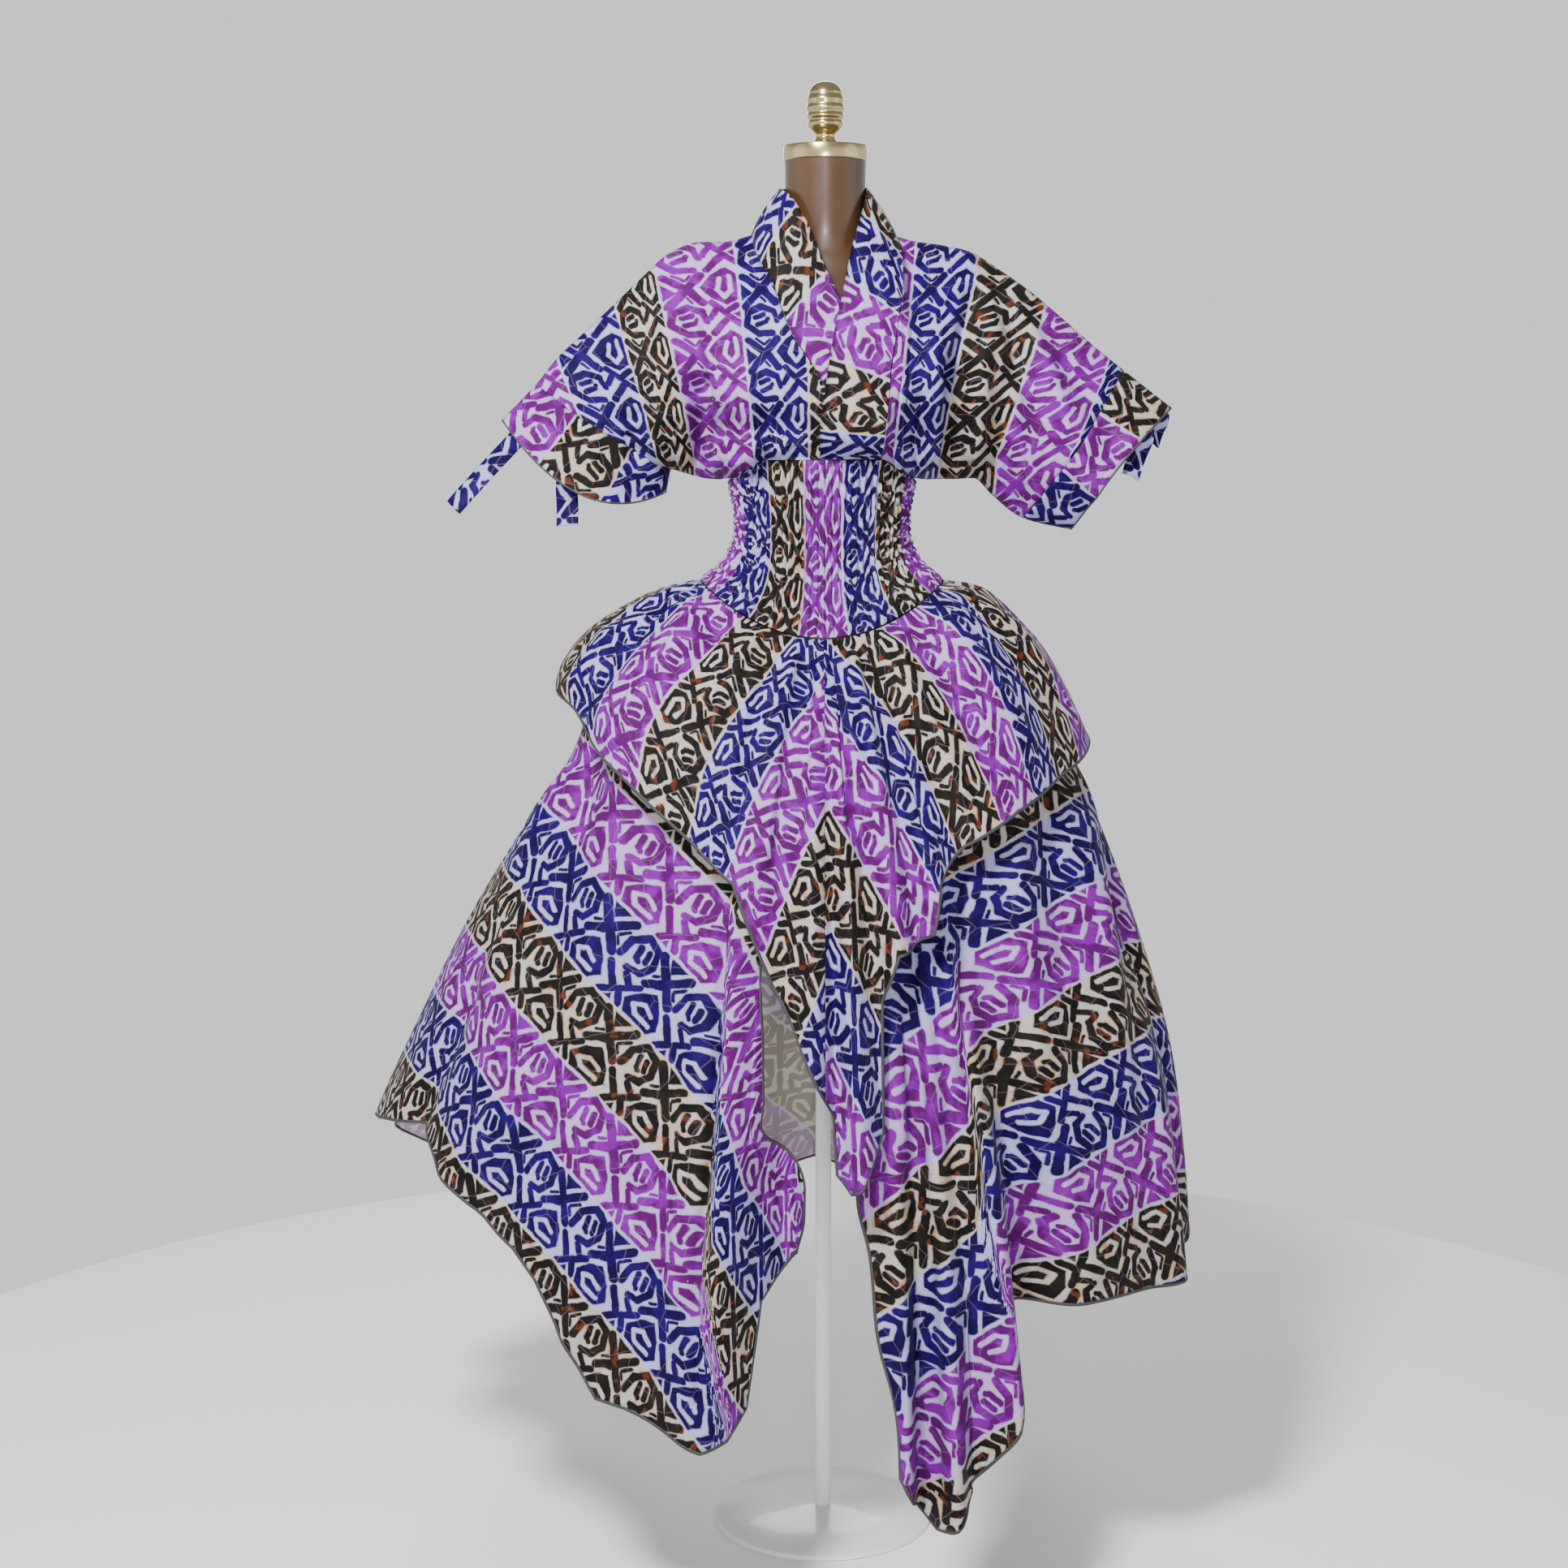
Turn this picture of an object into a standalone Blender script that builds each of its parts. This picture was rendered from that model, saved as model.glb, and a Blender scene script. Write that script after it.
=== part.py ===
"""Handkerchief dress on a limbless dress form, in metres, +Z up, front toward -Y.

Left and right are as seen from the front. The form stands on the floor at z = 0 and its pole is on
the z axis. Every cloth piece is a closed wall worked out from the tables below.
"""
import math

import bpy
import numpy as np

CLOTH = 0.0012
SEAM_GAP = 0.0005
# The dress hangs a little to the left of the form's axis.
DRESS_SHIFT_X = -0.003

# The waist seams: half width and half depth of the smocked waist, by height.
SMOCK_TOP_Z = 1.268
SMOCK_SIDE_BOTTOM_Z = 1.1515
SMOCK_FRONT_BOTTOM_Z = 1.0915
SMOCK_BACK_BOTTOM_Z = 1.1195
SMOCK_PROFILE = [
    # down, half_width, half_depth
    (0.00, 0.1070, 0.0880),
    (0.20, 0.1015, 0.0845),
    (0.40, 0.0985, 0.0830),
    (0.60, 0.1005, 0.0860),
    (0.75, 0.1080, 0.0935),
    (0.88, 0.1210, 0.1030),
    (1.00, 0.1410, 0.1160),
]
SMOCK_RIDGES = 56
SMOCK_RIDGE_HEIGHT = 0.0020
ELASTIC_ROWS = 4

# Bodice halves. Each station is one line from the shoulder or overarm down to the waist or underarm.
BODICE_LEFT = [
    # top_x, top_y, top_z, mid_dx, mid_dz, low_x, low_y_front, low_y_back, low_z, front_depth, back_depth
    (-0.082, 0.005, 1.5460, 0.000, 0.000, 0.0120, -0.0875, 0.0880, 1.2698, 0.050, 0.045),
    (-0.110, 0.003, 1.5385, 0.000, 0.000, -0.0450, -0.0798, 0.0798, 1.2698, 0.056, 0.048),
    (-0.148, 0.002, 1.5370, -0.004, 0.000, -0.0820, -0.0565, 0.0565, 1.2698, 0.064, 0.056),
    (-0.180, 0.001, 1.5230, -0.006, 0.000, -0.1066, -0.0080, 0.0080, 1.2698, 0.074, 0.066),
    (-0.210, 0.000, 1.4960, -0.006, -0.004, -0.1230, -0.0005, 0.0005, 1.2680, 0.072, 0.064),
    (-0.243, 0.000, 1.4650, -0.004, -0.006, -0.1370, -0.0005, 0.0005, 1.2690, 0.062, 0.056),
    (-0.279, 0.000, 1.4320, -0.002, -0.006, -0.1500, -0.0005, 0.0005, 1.2720, 0.054, 0.050),
    (-0.307, 0.000, 1.4060, 0.000, -0.004, -0.1630, -0.0005, 0.0005, 1.2760, 0.050, 0.048),
    (-0.331, 0.000, 1.3770, -0.005, -0.002, -0.1750, -0.0005, 0.0005, 1.2790, 0.050, 0.048),
    (-0.372, 0.000, 1.3350, 0.001, -0.044, -0.1820, -0.0005, 0.0005, 1.2520, 0.054, 0.050),
]
BODICE_RIGHT = [
    # top_x, top_y, top_z, mid_dx, mid_dz, low_x, low_y_front, low_y_back, low_z, front_depth, back_depth
    (0.084, 0.005, 1.5450, 0.000, 0.000, 0.0660, -0.0693, 0.0880, 1.2698, 0.050, 0.045),
    (0.106, 0.003, 1.5390, 0.000, 0.000, 0.0800, -0.0585, 0.0798, 1.2698, 0.060, 0.048),
    (0.140, 0.002, 1.5340, 0.003, 0.000, 0.0960, -0.0390, 0.0565, 1.2698, 0.068, 0.056),
    (0.172, 0.001, 1.5260, 0.005, 0.000, 0.1066, -0.0080, 0.0080, 1.2698, 0.076, 0.066),
    (0.203, 0.000, 1.5070, 0.006, -0.002, 0.1280, -0.0005, 0.0005, 1.2680, 0.072, 0.064),
    (0.241, 0.000, 1.4810, 0.006, -0.002, 0.1520, -0.0005, 0.0005, 1.2680, 0.062, 0.056),
    (0.281, 0.000, 1.4480, 0.005, 0.000, 0.1760, -0.0005, 0.0005, 1.2690, 0.056, 0.052),
    (0.315, 0.000, 1.4190, 0.005, 0.000, 0.2000, -0.0005, 0.0005, 1.2480, 0.054, 0.050),
    (0.348, 0.000, 1.3930, 0.004, 0.000, 0.2340, -0.0005, 0.0005, 1.2230, 0.052, 0.050),
    (0.4055, 0.000, 1.3490, -0.006, 0.006, 0.2910, -0.0005, 0.0005, 1.2090, 0.054, 0.050),
]
# The neckline edge of each half, from the shoulder down to the waist, then round the back neck.
NECK_FRONT_LEFT = [
    # down, x, y, z
    (0.00, -0.082, 0.005, 1.5460),
    (0.12, -0.076, -0.038, 1.5210),
    (0.27, -0.058, -0.078, 1.4890),
    (0.40, -0.044, -0.092, 1.4500),
    (0.50, -0.034, -0.099, 1.4270),
    (0.66, -0.008, -0.105, 1.3880),
    (0.78, 0.010, -0.108, 1.3500),
    (0.88, 0.012, -0.108, 1.3080),
    (0.95, 0.012, -0.102, 1.2850),
    (1.00, 0.012, -0.0875, 1.2698),
]
NECK_FRONT_RIGHT = [
    # down, x, y, z
    (0.00, 0.084, 0.005, 1.5450),
    (0.12, 0.090, -0.040, 1.5200),
    (0.27, 0.089, -0.083, 1.4760),
    (0.40, 0.083, -0.100, 1.4360),
    (0.52, 0.077, -0.108, 1.4000),
    (0.69, 0.073, -0.113, 1.3520),
    (0.85, 0.070, -0.112, 1.3050),
    (0.94, 0.068, -0.098, 1.2800),
    (1.00, 0.066, -0.0693, 1.2698),
]
NECK_BACK = [
    # down, side_x (times the side's own neck x), y, z
    (0.00, 1.000, 0.005, 1.5455),
    (0.06, 0.780, 0.040, 1.5520),
    (0.11, 0.430, 0.062, 1.5560),
    (0.16, 0.000, 0.068, 1.5580),
    (0.40, 0.000, 0.096, 1.4700),
    (0.65, 0.000, 0.110, 1.3750),
    (0.85, 0.000, 0.110, 1.3050),
    (0.94, 0.000, 0.102, 1.2830),
    (1.00, 0.000, 0.0880, 1.2698),
]
# The neck band: its sewn edge and its free edge, from the centre back to the front end.
BAND_RIGHT = [
    # sewn_x, sewn_y, sewn_z, free_x, free_y, free_z
    (0.0000, 0.068, 1.5580, 0.0000, 0.0535, 1.6020),
    (0.0361, 0.062, 1.5560, 0.0300, 0.0450, 1.6020),
    (0.0655, 0.040, 1.5520, 0.0470, 0.0220, 1.6000),
    (0.0840, 0.005, 1.5450, 0.0505, -0.0080, 1.5970),
    (0.0900, -0.040, 1.5200, 0.0450, -0.0340, 1.5720),
    (0.0890, -0.083, 1.4760, 0.0320, -0.0620, 1.5280),
    (0.0830, -0.100, 1.4360, 0.0200, -0.0940, 1.4710),
    (0.0770, -0.108, 1.4000, 0.0110, -0.1080, 1.4300),
    (0.0730, -0.113, 1.3520, 0.0020, -0.1170, 1.3720),
    (0.0700, -0.112, 1.3050, -0.0040, -0.1195, 1.3150),
    (0.0680, -0.098, 1.2800, -0.0040, -0.1100, 1.2850),
    (0.0660, -0.0693, 1.2698, -0.0040, -0.0970, 1.2698),
]
BAND_LEFT = [
    # sewn_x, sewn_y, sewn_z, free_x, free_y, free_z
    (0.0000, 0.068, 1.5580, 0.0000, 0.0535, 1.6020),
    (-0.0353, 0.062, 1.5560, -0.0300, 0.0450, 1.6020),
    (-0.0640, 0.040, 1.5520, -0.0460, 0.0220, 1.6000),
    (-0.0820, 0.005, 1.5460, -0.0490, -0.0100, 1.5970),
    (-0.0760, -0.038, 1.5210, -0.0360, -0.0410, 1.5860),
    (-0.0580, -0.078, 1.4890, -0.0160, -0.0560, 1.5520),
    (-0.0440, -0.092, 1.4500, 0.0020, -0.0720, 1.5060),
    (-0.0340, -0.099, 1.4270, 0.0190, -0.0850, 1.4710),
    (-0.0100, -0.1045, 1.3910, 0.0380, -0.0940, 1.4320),
    (0.0080, -0.1060, 1.3600, 0.0540, -0.0985, 1.4000),
]

# Peplum and skirt lie on rings: the position at an angle round the waist (0 = front, + = right)
# and a distance down the cloth comes from these side and front lines.
PEPLUM_LINES = [
    # down, left_x, left_z, right_x, right_z, front_y, front_z, back_y, back_z
    (0.00, 0.1420, 1.1500, 0.1425, 1.1500, 0.1170, 1.0895, 0.1170, 1.1175),
    (0.05, 0.1900, 1.1380, 0.1880, 1.1390, 0.1520, 1.0550, 0.1520, 1.0830),
    (0.10, 0.2340, 1.1180, 0.2260, 1.1080, 0.1850, 1.0180, 0.1840, 1.0460),
    (0.15, 0.2760, 1.0900, 0.2580, 1.0700, 0.2120, 0.9770, 0.2100, 1.0040),
    (0.20, 0.3060, 1.0510, 0.2840, 1.0280, 0.2340, 0.9320, 0.2320, 0.9600),
    (0.26, 0.3160, 0.9930, 0.3100, 0.9750, 0.2540, 0.8760, 0.2540, 0.9040),
    (0.40, 0.3520, 0.8570, 0.3620, 0.8460, 0.2920, 0.7420, 0.2960, 0.7710),
    (0.64, 0.4200, 0.6260, 0.4400, 0.6200, 0.3450, 0.5080, 0.3500, 0.5370),
]
SKIRT_LINES = [
    # down, left_x, left_z, right_x, right_z, front_y, front_z, back_y, back_z
    (0.00, 0.1416, 1.1481, 0.1420, 1.1481, 0.1157, 1.0882, 0.1157, 1.1162),
    (0.06, 0.1900, 1.1200, 0.1880, 1.1200, 0.1480, 1.0380, 0.1480, 1.0660),
    (0.12, 0.2380, 1.0840, 0.2300, 1.0780, 0.1780, 0.9870, 0.1780, 1.0140),
    (0.18, 0.2660, 1.0310, 0.2620, 1.0270, 0.1990, 0.9310, 0.2010, 0.9580),
    (0.26, 0.2900, 0.9540, 0.2900, 0.9520, 0.2220, 0.8550, 0.2280, 0.8800),
    (0.36, 0.3480, 0.8660, 0.3300, 0.8620, 0.2470, 0.7590, 0.2550, 0.7850),
    (0.50, 0.4220, 0.7450, 0.3790, 0.7300, 0.2800, 0.6230, 0.2900, 0.6500),
    (0.63, 0.4790, 0.6320, 0.4160, 0.6050, 0.3070, 0.4960, 0.3180, 0.5240),
    (0.76, 0.5320, 0.5190, 0.4350, 0.4760, 0.3300, 0.3690, 0.3450, 0.3960),
    (1.00, 0.6060, 0.2930, 0.4500, 0.2360, 0.3680, 0.1320, 0.3850, 0.1600),
    (1.20, 0.6600, 0.1000, 0.4580, 0.0360, 0.3950, -0.0650, 0.4150, -0.0380),
]
# How long each layer is, by angle round the waist.
PEPLUM_LENGTH = [
    # angle_deg, length
    (-180.0, 0.560),
    (-165.0, 0.430),
    (-145.0, 0.330),
    (-125.0, 0.270),
    (-105.0, 0.235),
    (-90.0, 0.220),
    (-79.0, 0.222),
    (-62.0, 0.231),
    (-45.0, 0.254),
    (-36.0, 0.270),
    (-27.0, 0.287),
    (-17.3, 0.315),
    (-12.7, 0.374),
    (-9.4, 0.419),
    (-5.9, 0.454),
    (-1.8, 0.512),
    (1.3, 0.556),
    (1.8, 0.620),
    (3.6, 0.636),
    (5.0, 0.630),
    (8.9, 0.578),
    (9.7, 0.438),
    (12.6, 0.386),
    (15.5, 0.384),
    (19.3, 0.372),
    (21.7, 0.320),
    (28.9, 0.291),
    (42.0, 0.277),
    (66.0, 0.277),
    (90.0, 0.272),
    (105.0, 0.268),
    (125.0, 0.280),
    (145.0, 0.335),
    (165.0, 0.440),
    (180.0, 0.560),
]
SKIRT_LENGTH = [
    # angle_deg, length
    (-180.0, 0.800),
    (-168.0, 0.830),
    (-155.0, 0.950),
    (-146.0, 1.010),
    (-136.0, 0.930),
    (-122.0, 0.840),
    (-106.0, 0.790),
    (-92.0, 0.775),
    (-80.6, 0.757),
    (-66.3, 0.722),
    (-61.7, 0.716),
    (-52.6, 0.735),
    (-46.7, 0.747),
    (-39.9, 0.768),
    (-36.1, 0.790),
    (-32.0, 0.828),
    (-28.6, 0.861),
    (-25.9, 0.889),
    (-22.4, 0.889),
    (-16.6, 0.896),
    (-12.9, 0.902),
    (-10.4, 0.893),
    (-8.8, 0.868),
    (-7.8, 0.756),
    (-3.6, 0.706),
    (8.0, 0.930),
    (10.1, 0.960),
    (14.6, 0.999),
    (18.0, 0.991),
    (21.4, 0.967),
    (23.9, 0.941),
    (26.8, 0.908),
    (29.1, 0.865),
    (31.0, 0.802),
    (36.1, 0.809),
    (44.1, 0.824),
    (61.0, 0.858),
    (70.0, 0.872),
    (79.0, 0.872),
    (92.0, 0.850),
    (106.0, 0.830),
    (122.0, 0.860),
    (136.0, 0.940),
    (148.0, 1.000),
    (157.0, 0.940),
    (168.0, 0.840),
    (180.0, 0.800),
]
# The free front edges of the skirt: joined at the centre to start with, then apart.
SKIRT_EDGE_LEFT = [
    # down, angle_deg
    (0.00, 0.0),
    (0.26, 0.0),
    (0.31, -6.0),
    (0.375, -11.5),
    (0.47, -8.0),
    (0.59, -3.0),
    (0.66, -2.6),
    (0.706, -3.6),
]
SKIRT_EDGE_RIGHT = [
    # down, angle_deg
    (0.00, 0.0),
    (0.26, 0.0),
    (0.31, 4.0),
    (0.45, 5.5),
    (0.63, 4.8),
    (0.69, 6.4),
    (0.79, 7.6),
    (0.85, 9.4),
    (0.96, 10.1),
]
# Folds: where each lies at the top and at the hem, its width, and how far it stands out (+) or in (-).
PEPLUM_FOLDS = [
    # top_deg, hem_deg, width_deg, height_at_top, height_at_hem, starts_down
    (-150.0, -156.0, 9.0, 0.000, 0.016, 0.05),
    (-128.0, -131.0, 9.0, 0.000, -0.016, 0.05),
    (-110.0, -112.0, 8.0, 0.000, 0.014, 0.05),
    (-66.0, -68.0, 8.0, 0.000, -0.012, 0.03),
    (-50.0, -51.0, 7.0, 0.000, 0.012, 0.03),
    (-33.0, -31.0, 6.0, 0.002, -0.010, 0.03),
    (-20.0, -17.0, 5.0, 0.002, 0.012, 0.02),
    (-9.0, -8.5, 3.0, -0.002, -0.014, 0.02),
    (-3.0, -2.0, 2.6, 0.004, 0.016, 0.02),
    (1.0, 1.8, 1.8, -0.003, -0.014, 0.02),
    (3.0, 5.0, 2.0, 0.003, 0.016, 0.02),
    (6.5, 9.3, 1.7, -0.002, -0.018, 0.05),
    (10.0, 13.0, 2.4, 0.003, 0.018, 0.05),
    (14.5, 17.0, 1.8, -0.002, -0.020, 0.08),
    (18.0, 20.8, 2.4, 0.002, 0.020, 0.06),
    (24.0, 26.5, 3.0, -0.002, -0.018, 0.05),
    (40.0, 41.0, 8.0, 0.000, 0.012, 0.03),
    (58.0, 60.0, 7.0, 0.000, -0.012, 0.03),
    (98.0, 102.0, 8.0, 0.000, 0.014, 0.05),
    (122.0, 126.0, 9.0, 0.000, -0.016, 0.05),
    (146.0, 152.0, 9.0, 0.000, 0.016, 0.05),
    (164.0, 167.0, 6.0, 0.000, -0.014, 0.05),
    (-165.0, -168.0, 6.0, 0.000, -0.014, 0.05),
]
SKIRT_FOLDS = [
    # top_deg, hem_deg, width_deg, height_at_top, height_at_hem, starts_down
    (-166.0, -170.0, 6.0, 0.000, -0.040, 0.15),
    (-150.0, -152.0, 7.0, 0.000, 0.045, 0.15),
    (-132.0, -134.0, 6.0, 0.000, -0.040, 0.15),
    (-116.0, -117.0, 7.0, 0.000, 0.040, 0.15),
    (-101.0, -102.0, 5.0, 0.000, -0.035, 0.20),
    (-66.0, -66.5, 3.5, 0.000, -0.018, 0.22),
    (-50.0, -50.0, 9.0, 0.000, 0.014, 0.20),
    (-17.0, -13.2, 4.5, 0.000, 0.030, 0.20),
    (-9.0, -5.0, 3.6, 0.000, -0.070, 0.25),
    (10.0, 11.0, 1.8, 0.000, 0.020, 0.30),
    (13.0, 14.0, 1.5, 0.000, -0.020, 0.30),
    (16.5, 17.5, 2.0, 0.000, 0.024, 0.30),
    (20.0, 21.0, 1.8, 0.000, -0.012, 0.35),
    (22.0, 27.5, 3.0, 0.000, 0.040, 0.35),
    (27.0, 33.0, 4.5, 0.000, -0.060, 0.32),
    (62.0, 64.0, 5.0, 0.000, 0.016, 0.20),
    (76.0, 77.0, 3.0, 0.000, -0.020, 0.25),
    (101.0, 103.0, 5.0, 0.000, -0.035, 0.20),
    (115.0, 117.0, 7.0, 0.000, 0.040, 0.15),
    (131.0, 133.0, 6.0, 0.000, -0.040, 0.15),
    (148.0, 150.0, 7.0, 0.000, 0.045, 0.15),
    (165.0, 168.0, 6.0, 0.000, -0.040, 0.15),
]

# The dress form under the cloth.
FORM_SECTIONS = [
    # z, half_width, half_depth, squareness
    (0.840, 0.112, 0.088, 2.2),
    (0.848, 0.120, 0.095, 2.2),
    (0.880, 0.132, 0.103, 2.2),
    (0.950, 0.138, 0.107, 2.2),
    (1.030, 0.134, 0.104, 2.2),
    (1.090, 0.119, 0.096, 2.1),
    (1.150, 0.101, 0.086, 2.1),
    (1.190, 0.092, 0.079, 2.0),
    (1.222, 0.089, 0.076, 2.0),
    (1.260, 0.093, 0.078, 2.0),
    (1.310, 0.106, 0.084, 2.1),
    (1.360, 0.118, 0.088, 2.2),
    (1.410, 0.124, 0.084, 2.2),
    (1.455, 0.124, 0.072, 2.3),
    (1.485, 0.114, 0.059, 2.3),
    (1.505, 0.094, 0.050, 2.2),
    (1.520, 0.070, 0.0455, 2.1),
    (1.535, 0.0540, 0.0450, 2.0),
    (1.555, 0.0475, 0.0460, 2.0),
    (1.600, 0.0462, 0.0462, 2.0),
    (1.6290, 0.0468, 0.0468, 2.0),
]
CAP_PROFILE = [
    # radius, z
    (0.0468, 1.6292),
    (0.0478, 1.6300),
    (0.0482, 1.6320),
    (0.0482, 1.6440),
    (0.0474, 1.6460),
    (0.0300, 1.6480),
    (0.0180, 1.6490),
]
FINIAL_PROFILE = [
    # radius, z
    (0.0150, 1.6492),
    (0.0130, 1.6520),
    (0.0108, 1.6560),
    (0.0120, 1.6600),
    (0.0175, 1.6650),
    (0.0205, 1.6710),
    (0.0190, 1.6750),
    (0.0218, 1.6790),
    (0.0200, 1.6835),
    (0.0222, 1.6880),
    (0.0205, 1.6930),
    (0.0212, 1.6975),
    (0.0192, 1.7030),
    (0.0186, 1.7070),
    (0.0150, 1.7130),
    (0.0100, 1.7165),
    (0.0040, 1.7180),
]
POLE_RADIUS = 0.0095
POLE_BOTTOM_Z = 0.0162
POLE_TOP_Z = 0.8398
BASE_PROFILE = [
    # radius, z
    (0.1300, 0.0000),
    (0.1320, 0.0012),
    (0.1320, 0.0060),
    (0.1290, 0.0080),
    (0.0600, 0.0105),
    (0.0220, 0.0160),
]

# Ties at the sleeve hems: where along the hem, which way they hang, how long and wide.
TIES = [
    # name, side, down_the_hem, direction_x, direction_z, length, width
    ("tie_left_outer", "left", 0.085, -0.72, -0.69, 0.102, 0.024),
    ("tie_left_inner", "left", 0.40, 0.03, -1.00, 0.036, 0.026),
    ("tie_right_outer", "right", 0.075, -0.50, -0.86, 0.026, 0.020),
    ("tie_right_inner", "right", 0.24, -0.42, -0.90, 0.044, 0.022),
]

COLOURS = {
    # name, red, green, blue, roughness, metallic
    "cloth": (0.42, 0.34, 0.62, 0.75, 0.0),
    "cover": (0.16, 0.07, 0.04, 0.35, 0.0),
    "gold": (0.70, 0.58, 0.30, 0.25, 1.0),
    "stand": (0.85, 0.85, 0.85, 0.40, 0.0),
}


def column(rows, key, position):
    """Read one column of a table at a position between its rows, smoothly."""
    keys = np.array([row[0] for row in rows])
    values = np.array([row[key] for row in rows])
    position = np.asarray(position, dtype=float)
    slopes = np.gradient(values, keys)
    steps = np.diff(values) / np.diff(keys)
    for i in range(1, len(keys) - 1):
        if steps[i - 1] * steps[i] <= 0.0:
            slopes[i] = 0.0
    index = np.clip(np.searchsorted(keys, position, side="right") - 1, 0, len(keys) - 2)
    width = keys[index + 1] - keys[index]
    f = np.clip((position - keys[index]) / width, 0.0, 1.0)
    a = values[index]
    b = values[index + 1]
    p = slopes[index] * width
    q = slopes[index + 1] * width
    start = (2 * f**3 - 3 * f**2 + 1) * a + (f**3 - 2 * f**2 + f) * p
    end = (3 * f**2 - 2 * f**3) * b + (f**3 - f**2) * q
    return start + end


def straight(rows, key, position):
    """Read one column of a table at a position between its rows, on straight lines."""
    keys = [row[0] for row in rows]
    values = [row[key] for row in rows]
    return np.interp(position, keys, values)


def station_column(rows, key, s):
    """Read one column of the station tables at a fractional station number."""
    numbered = [(i,) + tuple(row) for i, row in enumerate(rows)]
    return column(numbered, key + 1, s)


def fold_sum(folds, angle, down, length):
    """How far the folds move the cloth out, in metres, at an angle and distance down."""
    total = np.zeros(np.broadcast(angle, down).shape)
    for top, hem, width, low, high, start in folds:
        along = np.clip(down / length, 0.0, 1.0)
        centre = top + (hem - top) * along
        away = (angle - centre + 180.0) % 360.0 - 180.0
        grow = np.clip((down - start) / 0.5, 0.0, 1.6)
        early = np.clip(down / 0.08, 0.0, 1.0)
        total += (low * early + (high - low) * grow) * np.exp(-((away / width) ** 2))
    return total


def ring_point(lines, folds, angle, down, length):
    """A point of the peplum or skirt from its angle in degrees and its distance down the cloth."""
    turn = np.radians(angle)
    side = np.sin(turn)
    ahead = np.cos(turn)
    wide = np.where(side < 0, column(lines, 1, down), column(lines, 3, down))
    side_z = np.where(side < 0, column(lines, 2, down), column(lines, 4, down))
    deep = np.where(ahead > 0, column(lines, 5, down), column(lines, 7, down))
    ahead_z = np.where(ahead > 0, column(lines, 6, down), column(lines, 8, down))
    out = fold_sum(folds, angle, down, length)
    x = wide * side
    y = -deep * ahead
    size = np.sqrt((side / wide) ** 2 + (ahead / deep) ** 2)
    x = x + out * (side / wide) / size
    y = y - out * (ahead / deep) / size
    z = side_z * side**2 + ahead_z * ahead**2
    return np.stack([x, y, z], axis=-1)


def smock_point(angle, down):
    """A point of the smocked waist's plain middle surface."""
    turn = np.radians(angle)
    side = np.sin(turn)
    ahead = np.cos(turn)
    front = np.where(ahead > 0, SMOCK_FRONT_BOTTOM_Z, SMOCK_BACK_BOTTOM_Z)
    bottom = SMOCK_SIDE_BOTTOM_Z * side**2 + front * ahead**2
    x = column(SMOCK_PROFILE, 1, down) * side
    y = -column(SMOCK_PROFILE, 2, down) * ahead
    z = SMOCK_TOP_Z + (bottom - SMOCK_TOP_Z) * down
    return np.stack([x, y, z], axis=-1)


def bodice_point(side, s, face, v):
    """A point of a bodice half: station s, face +1 front or -1 back, v from the shoulder down."""
    rows = BODICE_LEFT if side == "left" else BODICE_RIGHT
    neck = NECK_FRONT_LEFT if side == "left" else NECK_FRONT_RIGHT
    s = np.asarray(s, dtype=float)
    v = np.asarray(v, dtype=float)
    top = np.stack([station_column(rows, k, s) + 0.0 * v for k in (0, 1, 2)], axis=-1)
    low_y = station_column(rows, 6 if face > 0 else 7, s)
    low_x = station_column(rows, 5, s)
    low_z = station_column(rows, 8, s)
    low = np.stack([low_x + 0.0 * v, low_y + 0.0 * v, low_z + 0.0 * v], axis=-1)
    if face < 0:
        back_low = np.interp(s, [0, 1, 2, 3], [0.0, 0.42, 0.765, 1.0])
        edge = station_column(rows, 5, 3.0)
        low[..., 0] = np.where(s < 3.0, edge * back_low, low[..., 0])
    depth = station_column(rows, 9 if face > 0 else 10, s)
    f = v[..., None] if v.ndim else v
    point = top * (1 - f) + low * f
    hump = 4.0 * v * (1.0 - v)
    point[..., 0] += station_column(rows, 3, s) * hump
    point[..., 2] += station_column(rows, 4, s) * hump
    swell = np.sin(math.pi * np.clip(v, 0.0, 1.0) ** 1.15) ** 0.72
    point[..., 1] -= face * depth * swell
    # Over the waist the cloth blouses out and down before it turns in to the seam.
    blouse = np.exp(-(((v - 0.93) / 0.055) ** 2)) * np.clip(4.2 - s, 0.0, 1.0)
    point[..., 1] -= face * 0.012 * blouse
    point[..., 2] -= 0.007 * blouse
    near = np.clip(1.0 - s, 0.0, 1.0)[..., None] if s.ndim else max(0.0, 1.0 - float(s))
    if face > 0:
        edge_line = np.stack([column(neck, k, v) for k in (1, 2, 3)], axis=-1)
    else:
        corner = rows[0]
        edge_x = column(NECK_BACK, 1, v) * corner[0]
        edge_line = np.stack([edge_x, column(NECK_BACK, 2, v), column(NECK_BACK, 3, v)], axis=-1)
        edge_line[..., 2] += (corner[2] - 1.5455) * np.clip(1.0 - v / 0.1, 0.0, 1.0)
    return point * (1 - near) + edge_line * near


def unit(vectors):
    """Vectors scaled to length one."""
    size = np.linalg.norm(vectors, axis=-1, keepdims=True)
    return vectors / np.maximum(size, 1e-12)


def grid_normals(points, closed_columns=False, closed_rows=False):
    """Unit normals at the points of a grid, by differences along its rows and columns."""
    if closed_rows:
        along = np.roll(points, -1, axis=0) - np.roll(points, 1, axis=0)
    else:
        along = np.gradient(points, axis=0)
    if closed_columns:
        across = np.roll(points, -1, axis=1) - np.roll(points, 1, axis=1)
    else:
        across = np.gradient(points, axis=1)
    return unit(np.cross(along, across))


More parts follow.
